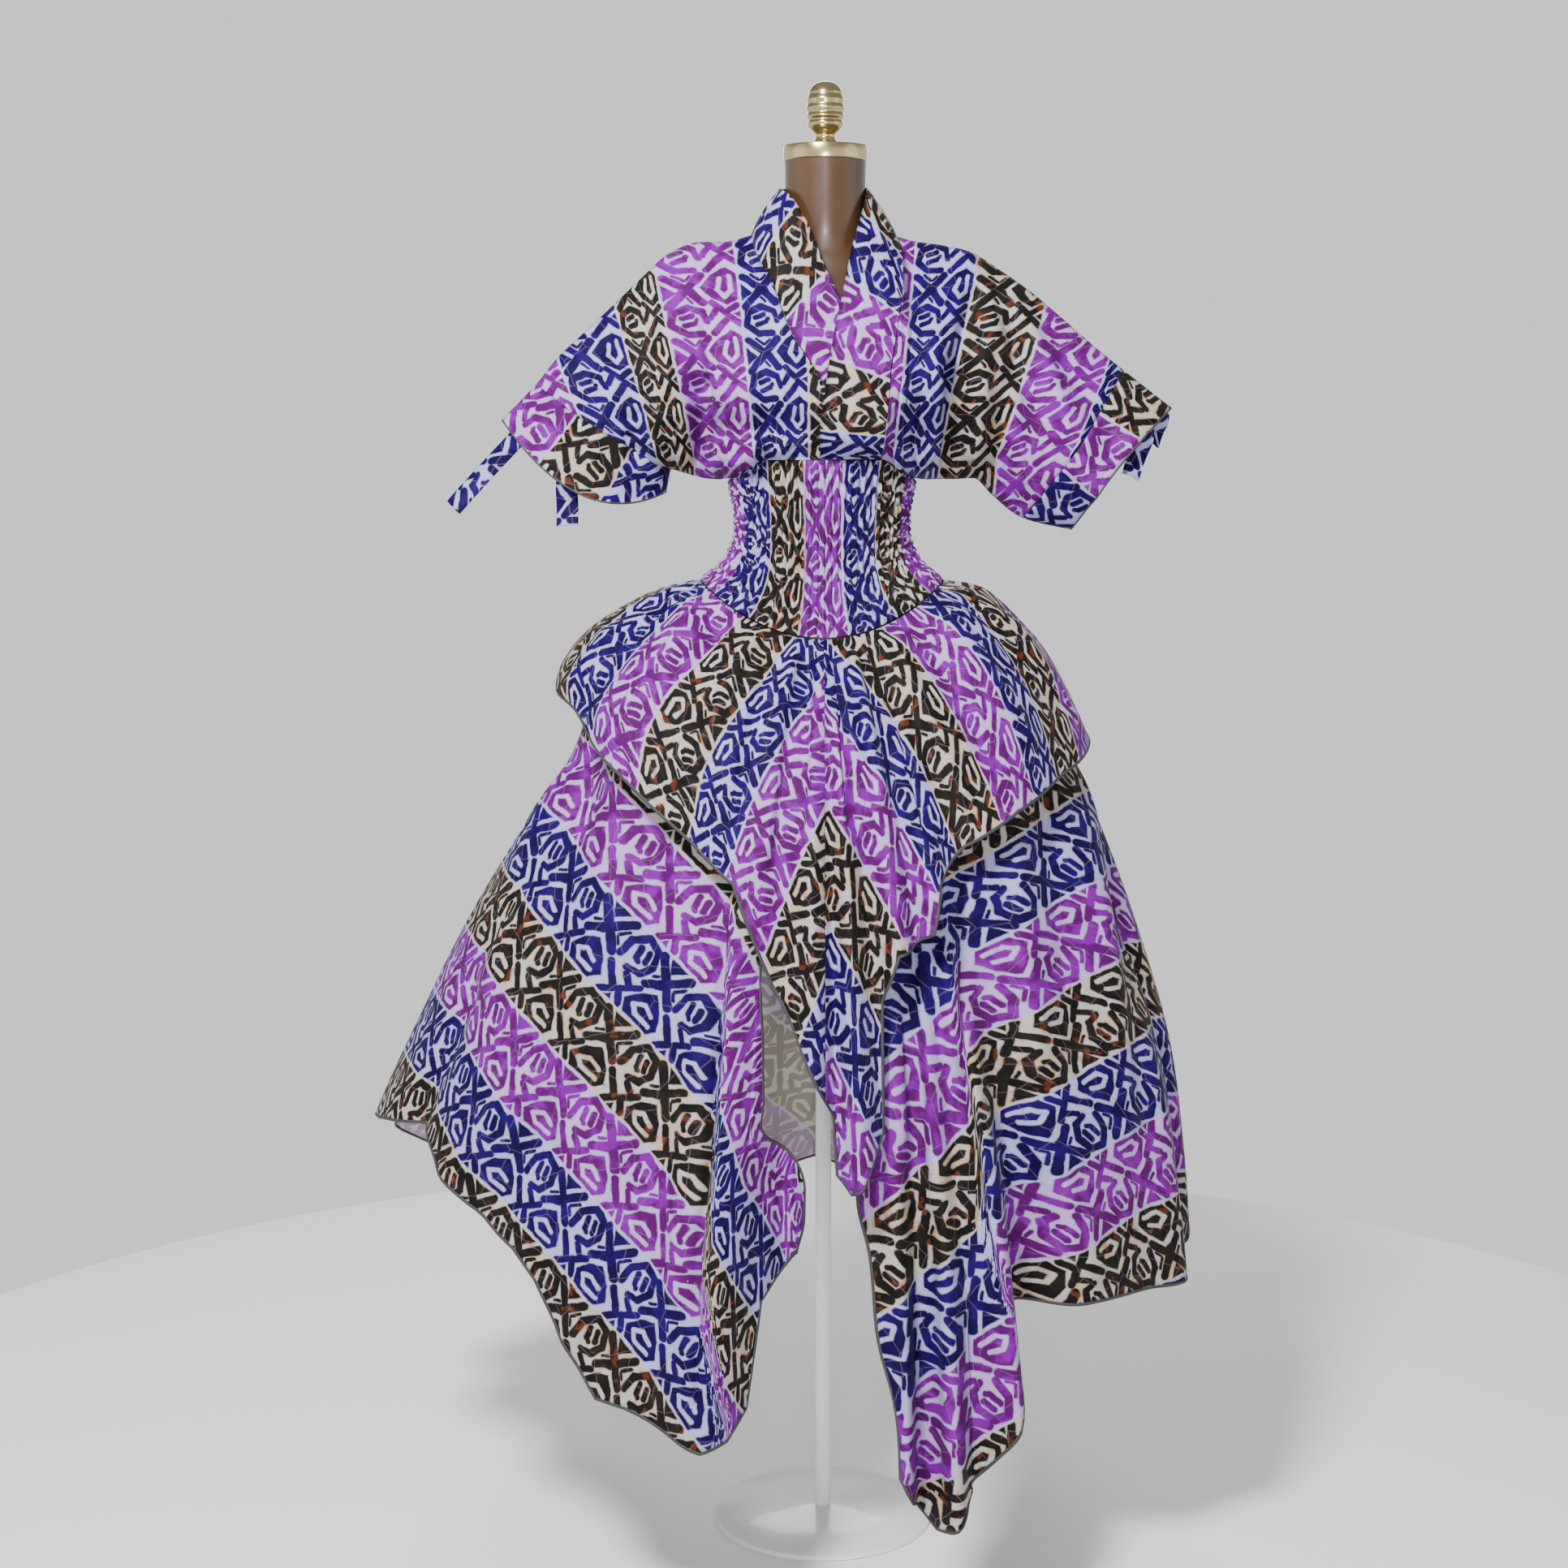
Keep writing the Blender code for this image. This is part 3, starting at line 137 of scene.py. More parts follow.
# The neck band: its sewn edge and its free edge, from the centre back to the front end.
BAND_RIGHT = metres([
    # sewn_x, sewn_y, sewn_z, free_x, free_y, free_z
    (0, 68, 1558, 0, 53.5, 1602),
    (36.1, 62, 1556, 30, 45, 1602),
    (65.5, 40, 1552, 47, 22, 1600),
    (84, 5, 1545, 50.5, -8, 1597),
    (90, -40, 1520, 45, -34, 1572),
    (89, -83, 1476, 32, -62, 1528),
    (83, -100, 1436, 20, -94, 1471),
    (77, -108, 1400, 11, -108, 1430),
    (73, -113, 1352, 2, -117, 1372),
    (70, -112, 1305, -4, -119.5, 1315),
    (68, -98, 1280, -4, -110, 1285),
    (66, -69.3, 1269.8, -4, -97, 1269.8),
])
BAND_LEFT = metres([
    # sewn_x, sewn_y, sewn_z, free_x, free_y, free_z
    (0, 68, 1558, 0, 53.5, 1602),
    (-35.3, 62, 1556, -30, 45, 1602),
    (-64, 40, 1552, -46, 22, 1600),
    (-82, 5, 1546, -49, -10, 1597),
    (-76, -38, 1521, -36, -41, 1586),
    (-58, -78, 1489, -16, -56, 1552),
    (-44, -92, 1450, 2, -72, 1506),
    (-34, -99, 1427, 19, -85, 1471),
    (-10, -104.5, 1391, 38, -94, 1432),
    (8, -106, 1360, 54, -98.5, 1400),
])

# Peplum and skirt lie on rings: the position at an angle round the waist (0 = front, + = right)
# and a distance down the cloth comes from these side and front lines.
PEPLUM_LINES = metres([
    # down, left_x, left_z, right_x, right_z, front_y, front_z, back_y, back_z
    (0, 142, 1150, 142.5, 1150, 117, 1089.5, 117, 1117.5),
    (50, 190, 1138, 188, 1139, 152, 1055, 152, 1083),
    (100, 234, 1118, 226, 1108, 185, 1018, 184, 1046),
    (150, 276, 1090, 258, 1070, 212, 977, 210, 1004),
    (200, 306, 1051, 284, 1028, 234, 932, 232, 960),
    (260, 316, 993, 310, 975, 254, 876, 254, 904),
    (400, 352, 857, 362, 846, 292, 742, 296, 771),
    (640, 420, 626, 440, 620, 345, 508, 350, 537),
])
SKIRT_LINES = metres([
    # down, left_x, left_z, right_x, right_z, front_y, front_z, back_y, back_z
    (0, 141.6, 1148.1, 142, 1148.1, 115.7, 1088.2, 115.7, 1116.2),
    (60, 190, 1120, 188, 1120, 148, 1038, 148, 1066),
    (120, 238, 1084, 230, 1078, 178, 987, 178, 1014),
    (180, 266, 1031, 262, 1027, 199, 931, 201, 958),
    (260, 290, 954, 290, 952, 222, 855, 228, 880),
    (360, 348, 866, 330, 862, 247, 759, 255, 785),
    (500, 422, 745, 379, 730, 280, 623, 290, 650),
    (630, 479, 632, 416, 605, 307, 496, 318, 524),
    (760, 532, 519, 435, 476, 330, 369, 345, 396),
    (1000, 606, 293, 450, 236, 368, 132, 385, 160),
    (1200, 660, 100, 458, 36, 395, -65, 415, -38),
])
# How long each layer is, by angle round the waist.
PEPLUM_LENGTH = metres([
    # angle_deg, length
    (-180, 560), (-165, 430), (-145, 330), (-125, 270), (-105, 235), (-90, 220), (-79, 222),
    (-62, 231), (-45, 254), (-36, 270), (-27, 287), (-17.3, 315), (-12.7, 374), (-9.4, 419),
    (-5.9, 454), (-1.8, 512), (1.3, 556), (1.8, 620), (3.6, 636), (5, 630), (8.9, 578), (9.7, 438),
    (12.6, 386), (15.5, 384), (19.3, 372), (21.7, 320), (28.9, 291), (42, 277), (66, 277),
    (90, 272), (105, 268), (125, 280), (145, 335), (165, 440), (180, 560),
], skip=1)
SKIRT_LENGTH = metres([
    # angle_deg, length
    (-180, 800), (-168, 830), (-155, 950), (-146, 1010), (-136, 930), (-122, 840), (-106, 790),
    (-92, 775), (-80.6, 757), (-66.3, 722), (-61.7, 716), (-52.6, 735), (-46.7, 747), (-39.9, 768),
    (-36.1, 790), (-32, 828), (-28.6, 861), (-25.9, 889), (-22.4, 889), (-16.6, 896), (-12.9, 902),
    (-10.4, 893), (-8.8, 868), (-7.8, 756), (-3.6, 706), (8, 930), (10.1, 960), (14.6, 999),
    (18, 991), (21.4, 967), (23.9, 941), (26.8, 908), (29.1, 865), (31, 802), (36.1, 809),
    (44.1, 824), (61, 858), (70, 872), (79, 872), (92, 850), (106, 830), (122, 860), (136, 940),
    (148, 1000), (157, 940), (168, 840), (180, 800),
], skip=1)
# The free front edges of the skirt: joined at the centre to start with, then apart.
SKIRT_EDGE_LEFT = [
    # down, angle_deg
    (0, 0), (0.26, 0), (0.31, -6), (0.375, -11.2), (0.47, -9.7), (0.53, -9), (0.572, -8.4),
    (0.604, -3.6), (0.63, -2.6), (0.66, -2.6), (0.706, -3.6),
]
SKIRT_EDGE_RIGHT = [
    # down, angle_deg
    (0, 0), (0.26, 0), (0.31, 4), (0.45, 5.5), (0.63, 4.8), (0.69, 6.4), (0.79, 7.6), (0.85, 9.4),
    (0.96, 10.1),
]
# Folds: where each lies at the top and at the hem, its width, and how far it stands out or in.
PEPLUM_FOLDS = metres([
    # top_deg, hem_deg, width_deg, height_at_top, height_at_hem, starts_down
    (-150, -156, 9, 0, 16, 50),
    (-128, -131, 9, 0, -16, 50),
    (-110, -112, 8, 0, 14, 50),
    (-66, -68, 8, 0, -12, 30),
    (-50, -51, 7, 0, 12, 30),
    (-33, -31, 6, 2, -10, 30),
    (-20, -17, 5, 2, 12, 20),
    (-9, -8.5, 3, -2, -14, 20),
    (-3, -2, 2.6, 4, 16, 20),
    (1, 1.8, 1.8, -3, -14, 20),
    (3, 5, 2, 3, 16, 20),
    (6.5, 9.3, 1.7, -2, -18, 50),
    (10, 13, 2.4, 3, 18, 50),
    (14.5, 17, 1.8, -2, -20, 80),
    (18, 20.8, 2.4, 2, 20, 60),
    (24, 26.5, 3, -2, -18, 50),
    (40, 41, 8, 0, 12, 30),
    (58, 60, 7, 0, -12, 30),
    (98, 102, 8, 0, 14, 50),
    (122, 126, 9, 0, -16, 50),
    (146, 152, 9, 0, 16, 50),
    (164, 167, 6, 0, -14, 50),
    (-165, -168, 6, 0, -14, 50),
], skip=3)
SKIRT_FOLDS = metres([
    # top_deg, hem_deg, width_deg, height_at_top, height_at_hem, starts_down
    (-166, -170, 6, 0, -40, 150),
    (-150, -152, 7, 0, 45, 150),
    (-132, -134, 6, 0, -40, 150),
    (-116, -117, 7, 0, 40, 150),
    (-101, -102, 5, 0, -35, 200),
    (-66, -66.5, 3.5, 0, -18, 220),
    (-50, -50, 9, 0, 14, 200),
    (-17, -13.2, 4.5, 0, 30, 200),
    (-9, -5, 3.6, 0, -70, 250),
    (10, 11, 1.8, 0, 20, 300),
    (13, 14, 1.5, 0, -20, 300),
    (16.5, 17.5, 2, 0, 24, 300),
    (20, 21, 1.8, 0, -12, 350),
    (22, 27.5, 3, 0, 40, 350),
    (27, 33, 4.5, 0, -60, 320),
    (62, 64, 5, 0, 16, 200),
    (76, 77, 3, 0, -20, 250),
    (101, 103, 5, 0, -35, 200),
    (115, 117, 7, 0, 40, 150),
    (131, 133, 6, 0, -40, 150),
    (148, 150, 7, 0, 45, 150),
    (165, 168, 6, 0, -40, 150),
], skip=3)

# The dress form under the cloth.
FORM_ROWS = 150
FORM_SEGMENTS = 112
FORM_SECTIONS = [
    # z, half_width, half_depth, squareness
    (0.84, 0.112, 0.088, 2.2), (0.848, 0.12, 0.095, 2.2), (0.88, 0.132, 0.103, 2.2),
    (0.95, 0.138, 0.107, 2.2), (1.03, 0.134, 0.104, 2.2), (1.09, 0.119, 0.096, 2.1),
    (1.15, 0.101, 0.086, 2.1), (1.19, 0.092, 0.079, 2), (1.222, 0.089, 0.076, 2),
    (1.26, 0.093, 0.078, 2), (1.31, 0.106, 0.084, 2.1), (1.36, 0.118, 0.088, 2.2),
    (1.41, 0.124, 0.084, 2.2), (1.455, 0.124, 0.072, 2.3), (1.485, 0.114, 0.059, 2.3),
    (1.505, 0.094, 0.05, 2.2), (1.52, 0.07, 0.0455, 2.1), (1.535, 0.054, 0.045, 2),
    (1.555, 0.0475, 0.046, 2), (1.6, 0.0462, 0.0462, 2), (1.629, 0.0468, 0.0468, 2),
]
CAP_PROFILE = metres([
    # radius, z
    (46.8, 1629.2), (47.8, 1630), (48.2, 1632), (48.2, 1644), (47.4, 1646), (30, 1648), (18, 1649),
])
FINIAL_PROFILE = metres([
    # radius, z
    (15, 1649.2), (13, 1652), (10.8, 1656), (12, 1660), (17.5, 1665), (20.5, 1671), (19, 1675),
    (21.8, 1679), (20, 1683.5), (22.2, 1688), (20.5, 1693), (21.2, 1697.5), (19.2, 1703),
    (18.6, 1707), (15, 1713), (10, 1716.5), (4, 1718),
])
POLE_PROFILE = metres([(9.5, 16.2), (9.5, 839.8)])
BASE_PROFILE = metres([
    # radius, z
    (130, 0), (132, 1.2), (132, 6), (129, 8), (60, 10.5), (22, 16),
])

# Overlock threads: corners, half width and half thickness on the hems and on the sleeve bands,
# and how far down the skirt's free edges they start.
THREAD_SIDES = 6
HEM_THREAD = (0.0021, 0.0011)
CUFF_THREAD = (0.0014, 0.0008)
EDGE_THREAD_START = 0.28
# Ties at the sleeve hems: where along the hem, which way they hang, how long and wide.
TIES = [
    # name, side, down_the_hem, direction_x, direction_z, length, width
    ("tie_left_outer", "left", 0.085, -0.72, -0.69, 0.102, 0.024),
    ("tie_left_inner", "left", 0.40, 0.03, -1.00, 0.036, 0.026),
    ("tie_right_outer", "right", 0.075, -0.50, -0.86, 0.026, 0.020),
    ("tie_right_inner", "right", 0.24, -0.42, -0.90, 0.044, 0.022),
]

# Creases that are finer than the CAD's folds: soft lines from one point to another, as seen from
# the front, and mirrored on the back.
BODICE_CREASES = metres([
    # x0, z0, x1, z1, width, height
    (-90, 1415, -80, 1395, 50, 13),
    (78, 1420, 70, 1395, 50, 13),
    (-120, 1325, 0, 1312, 22, -9),
    (0, 1312, 120, 1325, 22, -9),
    (-152, 1460, -137, 1370, 12, -16),
    (-137, 1370, -141, 1285, 12, -20),
    (-180, 1400, -192, 1300, 15, 14),
    (-122, 1400, -116, 1300, 12, 8),
    (-225, 1335, -172, 1352, 6, -6),
    (-222, 1315, -165, 1328, 6, -6),
    (-215, 1296, -160, 1306, 6, -5),
    (-190, 1500, -216, 1300, 11, -7),
    (-200, 1490, -268, 1290, 14, 8),
    (-212, 1480, -310, 1320, 13, -7),
    (-230, 1470, -345, 1350, 12, 6),
    (-105, 1345, -98, 1288, 7, -6.5),
    (-86, 1370, -82, 1288, 8, 7),
    (-68, 1340, -66, 1286, 6, -6),
    (-52, 1360, -50, 1286, 7, 5.5),
    (-34, 1345, -36, 1286, 6, -6),
    (174, 1475, 149, 1390, 12, -16),
    (149, 1390, 148, 1288, 12, -20),
    (178, 1410, 176, 1300, 13, 13),
    (226, 1430, 203, 1345, 11, -9),
    (203, 1345, 190, 1285, 10, -10),
    (128, 1410, 126, 1300, 11, 8),
    (108, 1360, 108, 1288, 7, -7),
    (90, 1370, 88, 1286, 7, 6),
    (185, 1490, 228, 1270, 12, 7),
    (200, 1490, 272, 1240, 13, -8),
    (215, 1485, 312, 1255, 13, 7),
    (240, 1470, 345, 1290, 12, -6),
    (232, 1320, 180, 1335, 6, -5),
])
PEPLUM_CREASES = metres([
    # x0, z0, x1, z1, width, height
    (-250, 1085, -300, 1020, 12, 6),
    (-190, 1125, -270, 1020, 13, -7),
    (-150, 1120, -230, 980, 13, 8),
    (-115, 1110, -190, 960, 11, -8.5),
    (-85, 1090, -150, 940, 10, 8),
    (-60, 1080, -105, 900, 8, -8),
    (-38, 1075, -68, 860, 8, 8),
    (-16, 1070, -28, 900, 7, -7.5),
    (14, 1070, 30, 900, 7, -7),
    (32, 1075, 60, 930, 7, 8),
    (52, 1080, 110, 900, 8, -9.5),
    (82, 1090, 150, 930, 10, 8.5),
    (110, 1105, 185, 960, 11, -8),
    (140, 1120, 230, 980, 12, 7),
    (175, 1130, 270, 1010, 12, -6),
    (230, 1100, 300, 990, 13, 6),
])
SKIRT_CREASES = metres([
    # x0, z0, x1, z1, width, height
    (-300, 960, -380, 700, 20, 10),
    (-265, 950, -330, 640, 16, -9),
    (-225, 940, -285, 560, 18, 8),
    (-185, 880, -225, 480, 14, -9),
    (-260, 620, -400, 430, 18, -10),
    (-330, 600, -455, 450, 18, 9),
    (-111, 780, -118, 654, 5, -11),
    (-118, 654, -126, 546, 5, -13),
    (-126, 546, -140, 418, 5, -13),
    (-140, 418, -140, 288, 5, -11),
    (-140, 700, -160, 400, 14, 9),
    (-210, 480, -300, 300, 16, 8),
    (70, 900, 80, 560, 8, 8),
    (95, 900, 104, 520, 7, -9),
    (125, 940, 140, 640, 9, 8),
    (155, 940, 154, 627, 7, -7),
    (154, 627, 170, 473, 6, -11),
    (170, 473, 192, 390, 6, -11),
    (205, 950, 240, 620, 14, 8),
    (245, 960, 290, 620, 14, -8),
    (300, 940, 345, 540, 15, 8),
    (335, 860, 375, 540, 12, -8),
    (110, 480, 120, 180, 9, -8),
    (150, 500, 158, 160, 10, 8),
    (235, 560, 300, 400, 16, 8),
])

# The print: a common geometric repeat, charted on one cell; x runs along the stripe.
PRINT_CELL = 0.086
INK_LINES = [
    # x0, y0, x1, y1, half_width
    (0.33, 0.67, 0.05, 0.92, 0.06), (0.33, 0.67, 0.56, 0.47, 0.06), (0.33, 0.67, 0.12, 0.47, 0.06),
    (0.33, 0.67, 0.52, 0.92, 0.06), (0.64, 0.54, 0.63, 0.76, 0.054),
    (0.63, 0.76, 0.76, 0.93, 0.054), (0.76, 0.93, 0.96, 0.89, 0.054),
    (0.96, 0.89, 1.05, 0.69, 0.054), (1.05, 0.69, 0.98, 0.51, 0.054),
    (0.98, 0.51, 0.83, 0.46, 0.046), (0.76, 0.77, 0.81, 0.63, 0.042),
    (0.88, 0.79, 0.93, 0.66, 0.044), (0.81, 0.63, 0.86, 0.6, 0.036), (0.64, 0.38, 0.9, 0.15, 0.051),
    (0.9, 0.15, 0.79, 0.02, 0.051), (0.12, 0.37, -0.04, 0.2, 0.048),
    (-0.04, 0.2, 0.08, 0.05, 0.048), (0.88, 0.4, 1.02, 0.31, 0.045), (0.47, 0.69, 0.55, 0.8, 0.026),
    (0.47, 0.66, 0.54, 0.59, 0.022), (0.2, 0.68, 0.13, 0.62, 0.022), (0.26, 0.54, 0.33, 0.58, 0.02),
]
INK_SHAPES = [
    [(0.08, 0.17), (0.18, 0.02), (0.59, 0.01), (0.69, 0.15), (0.56, 0.34), (0.36, 0.5), (0.19, 0.37)],
    [(0.14, 0.97), (0.27, 0.79), (0.42, 0.97)],
    [(0.88, 0.01), (0.99, 0.01), (0.94, 0.10)],
]
PALE_LINES = [
    # x0, y0, x1, y1, half_width
    (0.55, 0.11, 0.31, 0.1, 0.031), (0.31, 0.1, 0.21, 0.19, 0.031), (0.21, 0.19, 0.33, 0.28, 0.031),
    (0.33, 0.28, 0.5, 0.23, 0.031),
]
STRIPES = [
    # name, ink, second ink, ground
    ("purple", (0.072, 0.001, 0.090), (0.145, 0.001, 0.230), (0.380, 0.290, 0.530)),
    ("black", (0.006, 0.005, 0.005), (0.012, 0.009, 0.007), (0.370, 0.335, 0.315)),
    ("navy", (0.005, 0.000, 0.038), (0.010, 0.000, 0.080), (0.325, 0.315, 0.550)),
]
RUST = (0.170, 0.034, 0.008)
OCHRE = (0.400, 0.240, 0.090)
VEIN = (0.23, 0.16, 0.22)
REVERSE_GROUND = (0.92, 0.88, 0.74)
THREAD_DARK = (0.010, 0.009, 0.012)
THREAD_PALE = (0.055, 0.048, 0.055)
# Half the width of the printed part of a stripe, in cells.
STRIPE_HALF = 0.492

# How the print lies on each skirt and peplum panel once the panel is rolled out flat: along_x,
# along_y, along_shift, across_x, across_y, across_shift.
SKIRT_LIE = (1.0191, -0.3714, -0.0928, 0.3382, 0.9389, 0.4243)
SKIRT_LIE_RIGHT = (-0.9347, -0.4123, -0.2435, 0.0328, -0.9331, -0.4306)
PEPLUM_LIE = (-0.1576, -1.1324, -0.3805, 1.0814, 0.0224, 0.0722)
PEPLUM_LIE_RIGHT = (-0.0420, 0.8813, 0.2617, -0.9486, -0.0194, 0.0124)
PRINT_ON_RING = {
    # panel: centre_deg, turn_per_deg, start_radius, mirror, lie
    "skirt_front_left": (-45.0, 0.60, 0.10, 1, *SKIRT_LIE),
    "skirt_front_right": (45.0, 0.40, 0.35, 1, *SKIRT_LIE_RIGHT),
    "skirt_back_left": (-135.0, 0.60, 0.10, -1, *SKIRT_LIE),
    "skirt_back_right": (135.0, 0.60, 0.10, 1, *SKIRT_LIE),
    "peplum_front_left": (-45.0, 0.60, 0.30, 1, *PEPLUM_LIE),
    "peplum_front_right": (45.0, 0.95, 0.25, 1, *PEPLUM_LIE_RIGHT),
    "peplum_back_left": (-135.0, 0.60, 0.30, -1, *PEPLUM_LIE),
    "peplum_back_right": (135.0, 0.60, 0.30, 1, *PEPLUM_LIE),
}
# The bodice's upright stripes: where each stripe's edge lies across the front, counted in stripes.
BODICE_STRIPES = {
    "left": [
        (-0.420, 7), (-0.340, 6), (-0.253, 5), (-0.200, 4), (-0.103, 3), (-0.020, 2), (0.070, 1),
    ],
    "right": [
        (-0.020, 4.6), (0.108, 3), (0.181, 2), (0.270, 1), (0.365, 0), (0.415, -1), (0.470, -1.9),
    ],
}
BODICE_ALONG = 1.18
SHOULDER_Z = 1.545
BODICE_MIDDLE_X = -0.008
# How far from that middle the sleeves start, and how far their stripes lean at the waist's height.
SLEEVE_START = 0.15
SLEEVE_LEAN = 0.085
BODICE_GATHER = {"left": 0.36, "right": 0.33}
# Where the stripes of the smocked waist, the neck bands and the sleeve bands lie.
SMOCK_STRIPE_DEG = 24.5
BAND_STRIPE_START = {"left": 0.330, "right": 0.020}
CUFF_STRIPES = {"left": (1.0, 0.010), "right": (-1.0, 1.80 * PRINT_CELL)}
# Beyond a deep fold the print starts anew: the line of the fold, which side, and its lie there.
PRINT_FOLDS = {
    # panel: fold line of (down, angle), side, starts_down, ends_down, lie
    "skirt_front_left": (
        [(0.300, -18.6), (0.486, -16.3), (0.618, -15.3), (0.716, -15.0), (0.875, -11.5)],
        1, 0.30, 0.62, 1.9424, 0.1442, 0.1549, 1.2342, 1.3158, 0.5747,
    ),
    "skirt_front_right": (
        [(0.525, 24.4), (0.588, 24.5), (0.676, 24.2), (0.762, 26.6), (0.795, 29.5), (0.950, 33.0)],
        -1, 0.25, 0.58, -0.7792, -0.5880, 0.7200, 0.6044, -0.7463, 0.6714,
    ),
}
# Past its fold this strip hangs so steeply that its print is placed by where it is in space.
PRINT_HANGS_FREE = ["skirt_front_right"]
# How much the peplum's stripes are drawn up toward the middle.
PEPLUM_DRAWN_UP = 0.32
# Angles round the waist at which the panels are drawn.
PEPLUM_SETS = {
    "front_left": [
        -90, -79, -70, -62, -53, -45, -36, -27, -21, -17.3, -14.5, -12.7, -11, -9.4, -7.5, -5.9, -4,
        -2.4, -0.8, 0,
    ],
    "front_right": [
        0, 1.3, 1.8, 2.7, 3.6, 5, 6.4, 7.8, 8.9, 9.7, 11, 12.6, 14, 15.5, 17.2, 19.3, 20.4, 21.7,
        23.5, 26, 28.9, 35, 42, 50, 58, 66, 78, 90,
    ],
    "back_left": [-180, -172, -165, -158, -151, -145, -138, -131, -125, -118, -111, -105, -98, -90],
    "back_right": [90, 98, 105, 111, 118, 125, 131, 138, 145, 152, 158, 165, 172, 180],
}
SKIRT_SETS = {
    "front_left": [
        -90, -80.6, -73, -66.3, -61.7, -57, -52.6, -46.7, -39.9, -36.1, -32, -28.6, -25.9, -22.4,
        -19.5, -16.6, -14.5, -12.9, -11.6, -10.4, -8.8, -7.8, -5.8, -3.6,
    ],
    "front_right": [
        8, 10.1, 12.3, 14.6, 16.3, 18, 19.7, 21.4, 23.9, 25.4, 26.8, 29.1, 31, 33.5, 36.1, 40, 44.1,
        49, 55, 61, 66, 70, 74, 79, 84, 90,
    ],
    "back_left": [
        -180, -174, -168, -161, -155, -150, -146, -141, -136, -129, -122, -114, -106, -99, -90,
    ],
    "back_right": [90, 99, 106, 114, 122, 129, 136, 142, 148, 152, 157, 162, 168, 174, 180],
}
# Steps of the grid between two of those angles, and the seams that the panels share.
PANEL_PARTS = {"front_left": 5, "front_right": 4, "back_left": 7, "back_right": 7}
PANEL_JOINS = [
    # panel, column, panel, column; the last seam is open on the skirt
    ("front_left", 0, "back_left", -1),
    ("front_right", -1, "back_right", 0),
    ("back_left", 0, "back_right", -1),
    ("front_left", -1, "front_right", 0),
]

FLOOR_RADIUS = 1.5
FLOOR_CORNERS = 96
LIGHTS = [
    # name, x, y, z, aim_z, size, watts
    ("key", -0.8, -1.9, 2.9, 1.40, 0.5, 150.0),
    ("front", -0.05, -3.15, 1.2, 0.95, 0.5, 40.0),
    ("fill_left", -3.0, -0.8, 1.8, 0.9, 2.4, 8.0),
    ("fill_right", 3.0, -0.8, 1.8, 0.9, 2.4, 8.0),
    ("back", 0.0, 3.2, 2.6, 1.0, 2.0, 60.0),
]


def share(value):
    """A value held between 0 and 1."""
    return np.clip(value, 0.0, 1.0)


def stacked(*parts):
    """Coordinates put together as points; a single number or a row of them serves for all."""
    return np.stack(np.broadcast_arrays(*parts), axis=-1)


def eased(value):
    """A value held between 0 and 1 and eased at both ends."""
    value = share(value)
    return value**2 * (3.0 - 2.0 * value)


def column(rows, key, position):
    """Read one column of a table at a position between its rows, smoothly."""
    keys = np.array([row[0] for row in rows])
    values = np.array([row[key] for row in rows])
    slopes = np.gradient(values, keys)
    steps = np.diff(values) / np.diff(keys)
    slopes[1:-1][steps[:-1] * steps[1:] <= 0.0] = 0.0
    index = np.clip(np.searchsorted(keys, position, side="right") - 1, 0, len(keys) - 2)
    width = keys[index + 1] - keys[index]
    f = share((position - keys[index]) / width)
    leave = (f**3 - 2 * f**2 + f) * slopes[index] * width
    arrive = (f**3 - f**2) * slopes[index + 1] * width
    rise = 3 * f**2 - 2 * f**3
    return (1 - rise) * values[index] + rise * values[index + 1] + leave + arrive


def columns(rows, keys, position):
    """Several columns of a table, read smoothly, as the coordinates of points."""
    return np.stack([column(rows, key, position) for key in keys], axis=-1)


def numbered(rows):
    """A table with each row's number before it."""
    return [(i, *row) for i, row in enumerate(rows)]


def straight(rows, key, position):
    """Read one column of a table at a position between its rows, on straight lines."""
    return np.interp(position, [row[0] for row in rows], [row[key] for row in rows])


def fold_sum(folds, angle, down, length):
    """How far the folds move the cloth out, in metres, at an angle and distance down."""
    total = np.zeros(np.broadcast(angle, down).shape)
    early = share(down / 0.08)
    for top, hem, width, low, high, start in folds:
        centre = top + (hem - top) * share(down / length)
        away = (angle - centre + 180.0) % 360.0 - 180.0
        grow = np.clip((down - start) / 0.5, 0.0, 1.6)
        total += (low * early + (high - low) * grow) * np.exp(-((away / width) ** 2))
    return total


def ring_point(lines, folds, angle, down, length):
    """A point of the peplum or skirt from its angle in degrees and its distance down the cloth."""
    side = np.sin(np.radians(angle))
    ahead = np.cos(np.radians(angle))
    read = [column(lines, key, down) for key in range(9)]
    wide = np.where(side < 0, read[1], read[3])
    side_z = np.where(side < 0, read[2], read[4])
    deep = np.where(ahead > 0, read[5], read[7])
    ahead_z = np.where(ahead > 0, read[6], read[8])
    out = fold_sum(folds, angle, down, length) / np.hypot(side / wide, ahead / deep)
    x = wide * side + out * side / wide
    y = -deep * ahead - out * ahead / deep
    z = side_z * side**2 + ahead_z * ahead**2
    return stacked(x, y, z)


def smock_point(angle, down):
    """A point of the smocked waist's plain middle surface."""
    side = np.sin(np.radians(angle))
    ahead = np.cos(np.radians(angle))
    middle_z = np.where(ahead > 0, SMOCK_FRONT_BOTTOM_Z, SMOCK_BACK_BOTTOM_Z)
    bottom = SMOCK_SIDE_BOTTOM_Z * side**2 + middle_z * ahead**2
    x = column(SMOCK_PROFILE, 1, down) * side
    y = -column(SMOCK_PROFILE, 2, down) * ahead
    z = SMOCK_TOP_Z + (bottom - SMOCK_TOP_Z) * down
    return stacked(x, y, z)


